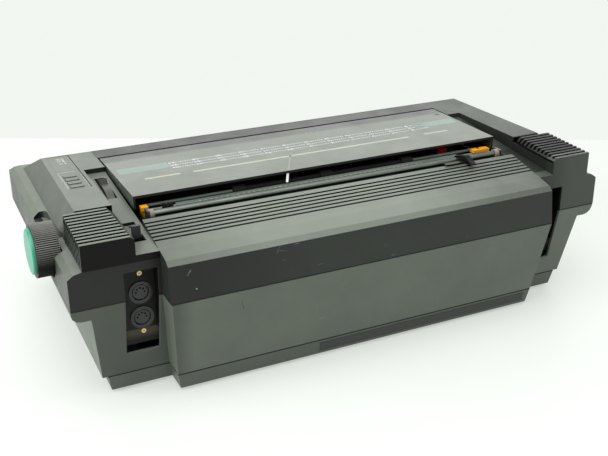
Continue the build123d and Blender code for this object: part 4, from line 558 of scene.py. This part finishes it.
def soften(name, body, width):
    """A copy of a CAD node with its flat faces joined and its edges rounded"""
    source = nodes[name]
    mesh = source.data.copy()
    mesh.name = "soft_" + name
    b = bmesh.new()
    b.from_mesh(mesh)
    bmesh.ops.remove_doubles(b, verts=b.verts, dist=MERGE_WITHIN)
    bmesh.ops.dissolve_limit(b, angle_limit=FLAT_BELOW, verts=b.verts, edges=b.edges,
                             use_dissolve_boundaries=False)
    for face in b.faces:
        face.smooth = True
    for edge in b.edges:
        edge.smooth = len(edge.link_faces) == 2 and edge.calc_face_angle(0) < SMOOTH_BELOW
    b.to_mesh(mesh)
    b.free()
    if "custom_normal" in mesh.attributes:
        mesh.attributes.remove(mesh.attributes["custom_normal"])
    item = bpy.data.objects.new("soft_" + name, mesh)
    bpy.context.scene.collection.objects.link(item)
    bevel = item.modifiers.new("edges", "BEVEL")
    bevel.width = width
    bevel.segments = 2
    bevel.limit_method = "ANGLE"
    bevel.angle_limit = ROUND_ABOVE
    bevel.use_clamp_overlap = True
    bevel.miter_outer = "MITER_ARC"
    bevel.harden_normals = True
    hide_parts(name)
    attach(item, body)


soften("upper_housing", "housing", 0.0005)
soften("lower_shell", "housing", 0.0006)
soften("base_tray", "housing", 0.0006)
soften("lid", "lid", 0.0002)
soften("front_fascia", "housing", 0.00015)


# Prints and small fittings, drawn as thin pieces on their carriers
def piece(name, body, material, corners, faces):
    """One mesh piece that moves with a body"""
    mesh = bpy.data.meshes.new(name)
    mesh.from_pydata(corners, [], faces)
    mesh.materials.append(material)
    item = bpy.data.objects.new(name, mesh)
    bpy.context.scene.collection.objects.link(item)
    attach(item, body)


def flat(name, body, material, shapes, z):
    """Four-cornered prints at one height; x is measured from the rear box's centre line, in millimetres"""
    corners, faces = [], []
    for shape in shapes:
        first = len(corners)
        corners += [(CX + x / 1000, y / 1000, z / 1000) for x, y in shape]
        faces.append(tuple(range(first, first + len(shape))))
    piece(name, body, material, corners, faces)


def bar(x0, x1, y0, y1):
    """Corners of one oblong with its sides along x and y"""
    return [(x0, y0), (x1, y0), (x1, y1), (x0, y1)]


def blocks(name, body, material, boxes, lean=(0, 0)):
    """Boxes in millimetres, x from the centre line; the lean moves their lower faces in x and y"""
    corners, faces = [], []
    for x0, x1, y0, y1, z0, z1 in boxes:
        first = len(corners)
        corners += [(CX + (x + dx) / 1000, (y + dy) / 1000, z / 1000)
                    for z, dx, dy in ((z0, *lean), (z1, 0, 0)) for y in (y0, y1) for x in (x0, x1)]
        faces += [tuple(first + i for i in face) for face in
                  ((0, 2, 3, 1), (4, 5, 7, 6), (0, 1, 5, 4), (2, 6, 7, 3), (0, 4, 6, 2), (1, 3, 7, 5))]
    piece(name, body, material, corners, faces)


SEGMENTS = {"0": "abcdef", "1": "bc", "2": "abged", "3": "abgcd", "4": "fgbc", "5": "afgcd", "6": "afgedc",
            "7": "abc", "8": "abcdefg", "9": "abcdfg"}


def digit(symbol, x, y):
    """Strokes of one numeral, read from the front, with its lower left corner at x, y"""
    wide, high, stroke = 2.0, 4.0, 0.75
    half = high / 2
    places = {"a": (0, wide, high - stroke, high), "b": (wide - stroke, wide, half, high),
              "c": (wide - stroke, wide, 0, half), "d": (0, wide, 0, stroke), "e": (0, stroke, 0, half),
              "f": (0, stroke, half, high), "g": (0, wide, half - stroke / 2, half + stroke / 2)}
    return [bar(x + a, x + b, y + c, y + d) for a, b, c, d in (places[key] for key in SEGMENTS[symbol])]


# Three rows of column numbers, one for each pitch, with small bars between the numbers
NUMBER_STEP = 22.8
DIGIT_STEP = 2.5
column_marks = []
for row, step in ((-15.6, 10), (-8.8, 12), (-2.0, 15)):
    for i in range(12):
        place = -123.8 + NUMBER_STEP * i
        number = str(step * (i + 1))
        start_x = place - DIGIT_STEP / 2 * len(number)
        for k, symbol in enumerate(number):
            column_marks += digit(symbol, start_x + DIGIT_STEP * k, row)
        for k in range(2, 9):
            spot = place - NUMBER_STEP + NUMBER_STEP / 10 * k
            column_marks.append(bar(spot, spot + 0.9, row + 1.1, row + 2.7))
flat("lid_columns", "lid", white_ink, column_marks, PRINT_Z)
flat("lid_bands", "lid", teal_ink,
     [bar(131.5, 179.0, -17.0, -2.5), bar(-179.0, -131.5, -17.0, -2.5)], PRINT_Z)
flat("lid_lines", "lid", yellow_ink,
     [bar(129.2, 161.7, 15.6, 18.6), bar(-108.0, 117.0, 16.2, 19.2), bar(-154.3, -126.5, 15.2, 18.0)],
     PRINT_Z)
flat("lid_mark", "lid", black, [bar(-178.0, -172.5, -37.0, -33.5)], PRINT_Z)
# Painted reflection: a light streak across the lid
flat("lid_shine", "lid", painted_highlight,
     [[(16.6, 10.0), (18.0, 10.0), (40.6, 53.4), (38.8, 53.4)]], PRINT_Z)
# Painted highlight along the lid's rear edge
flat("lid_edge_highlight", "lid", painted_highlight, [bar(-183.5, 183.5, 52.9, 53.6)], PRINT_Z)
blocks("paper_pointer", "lid", white_ink, [(38.8, 41.0, 52.4, 52.9, 138.9, 145.7)], (3.2, 5.1))

# Scale on the paper bail, every fifth tick longer
TICK_STEP = 5.08
ticks = []
for i in range(45):
    x = 126.16 - TICK_STEP * i
    length = 2.0 if i % 5 else 3.0
    ticks.append(bar(x - 0.5, x + 0.5, 59.7 - length, 59.7))
flat("bail_ticks", "bail", tick_ink, ticks, TICK_Z)
blocks("bail_stop", "bail", black,
       [(150.5, 160.0, 54.0, 59.0, 132.9, 136.6), (151.5, 154.0, 54.5, 58.5, 136.6, 138.0),
        (156.5, 159.0, 54.5, 58.5, 136.6, 138.0)])
blocks("cartridge_pegs", "carriage", cream,
       [(-119.6, -117.4, 25.6, 27.6, 121.9, 126.4), (-131.2, -129.0, 25.2, 27.2, 121.9, 126.4)])

# Two lines beside the keys, a dash for each of them, and plain dashes at the front
KEY_STEP = 9.2
panel_marks = [bar(212.6, 227.6, -31.4, -30.6), bar(227.2, 227.9, -31.4, 10.9)]
for k in range(4):
    y = -19 + KEY_STEP * k
    panel_marks.append(bar(209.2, 210.2, y - 1.6, y + 1.6))
panel_marks += [bar(214.2, 221.0, -71.0, -69.4), bar(214.2, 216.0, -68.2, -60.0),
                bar(217.4, 221.0, -67.0, -65.4), bar(217.4, 221.0, -63.4, -61.8),
                bar(214.2, 215.8, -57.6, -54.0), bar(217.4, 221.0, -57.0, -55.2)]
flat("panel_marks", "housing", tick_ink, panel_marks, PRINT_Z)


def make_floor():
    """Pale floor that ends where the photograph's wall begins, and glows a little for the camera"""
    look = Vector((-math.sin(AZIMUTH), -math.cos(AZIMUTH), 0))
    across = Vector((look.y, -look.x, 0)) * FLOOR_REACH
    camera_foot = Vector((*CAMERA_PLACE[:2], 0))
    far = camera_foot + look * WALL_AWAY
    turn = look * WALL_TURN
    depth = look * FLOOR_DEPTH
    corners = [far + across - turn, far - across + turn, far - across - depth, far + across - depth]
    mesh = bpy.data.meshes.new("floor")
    mesh.from_pydata([tuple(c) for c in corners], [], [(0, 1, 2, 3)])
    floor = bpy.data.objects.new("floor", mesh)
    bpy.context.scene.collection.objects.link(floor)
    material, t = new_material("floor")
    shader = t.add("ShaderNodeBsdfPrincipled")
    cloud = t.noise(t.place(), 3.0, 2, 0.5)
    t.link(t.mix(cloud, (0.40, 0.415, 0.40), (0.44, 0.455, 0.44)), shader.inputs["Base Color"])
    shader.inputs["Roughness"].default_value = 0.6
    glow = t.add("ShaderNodeEmission")
    glow.inputs["Color"].default_value = (0.96, 1.0, 0.95, 1)
    axes = t.axes()
    away = t.math("ADD", t.math("MULTIPLY", axes["X"], look.x), t.math("MULTIPLY", axes["Y"], look.y))
    away = t.math("SUBTRACT", away, camera_foot.dot(look))
    # no glow under the machine, where only the floor's own shade would show through its slots
    under = t.math("MULTIPLY", t.near(axes["X"], CX, 0.195, 0.205), t.near(axes["Y"], -0.015, 0.105, 0.115))
    glowing = t.math("MULTIPLY", t.ramp(away, 0.5, 1.36, 0.51, 0.43), t.math("SUBTRACT", 1.0, under))
    t.link(t.math("MULTIPLY", t.either_ray(), glowing), glow.inputs["Strength"])
    total = t.add("ShaderNodeAddShader")
    t.link(shader.outputs[0], total.inputs[0])
    t.link(glow.outputs[0], total.inputs[1])
    t.finish(total)
    floor.data.materials.append(material)


def make_world():
    """Pale wall for the camera and a weaker light for everything else"""
    world = bpy.data.worlds.new("studio")
    world.use_nodes = True
    bpy.context.scene.world = world
    w = Tree(world.node_tree)
    wall = w.add("ShaderNodeBackground")
    wall.inputs["Color"].default_value = (0.885, 0.925, 0.88, 1)
    wall.inputs["Strength"].default_value = 1.0
    room = w.add("ShaderNodeBackground")
    room.inputs["Color"].default_value = (1.0, 1.0, 1.0, 1)
    room.inputs["Strength"].default_value = 0.32
    both = w.add("ShaderNodeMixShader")
    w.link(w.either_ray(), both.inputs[0])
    w.link(room.outputs[0], both.inputs[1])
    w.link(wall.outputs[0], both.inputs[2])
    output = w.add("ShaderNodeOutputWorld")
    w.link(both.outputs[0], output.inputs["Surface"])


# Lamps: name, place, size and power in watts; all look at the middle of the machine
LAMP_AIM = Vector((0, 0, 0.1))
LAMPS = (("window", (-0.9, -1.9, 1.3), (2.6, 1.4), 12),
         ("overhead", (0.3, 0.5, 2.0), (2.4, 2.4), 42),
         ("side", (2.2, -0.3, 1.0), (1.4, 1.4), 30),
         ("fill", (1.6, 1.4, 1.2), (1.4, 1.4), 3))


def make_lamps():
    """Large soft lamps that the camera doesn't see"""
    for name, place, size, power in LAMPS:
        data = bpy.data.lights.new(name, "AREA")
        data.shape = "RECTANGLE"
        data.size, data.size_y = size
        data.energy = power
        lamp = bpy.data.objects.new(name, data)
        lamp.location = place
        lamp.rotation_euler = (LAMP_AIM - Vector(place)).to_track_quat("-Z", "Y").to_euler()
        lamp.visible_camera = False
        bpy.context.scene.collection.objects.link(lamp)


make_camera()
make_floor()
make_world()
make_lamps()
bpy.context.scene.view_settings.view_transform = "Standard"
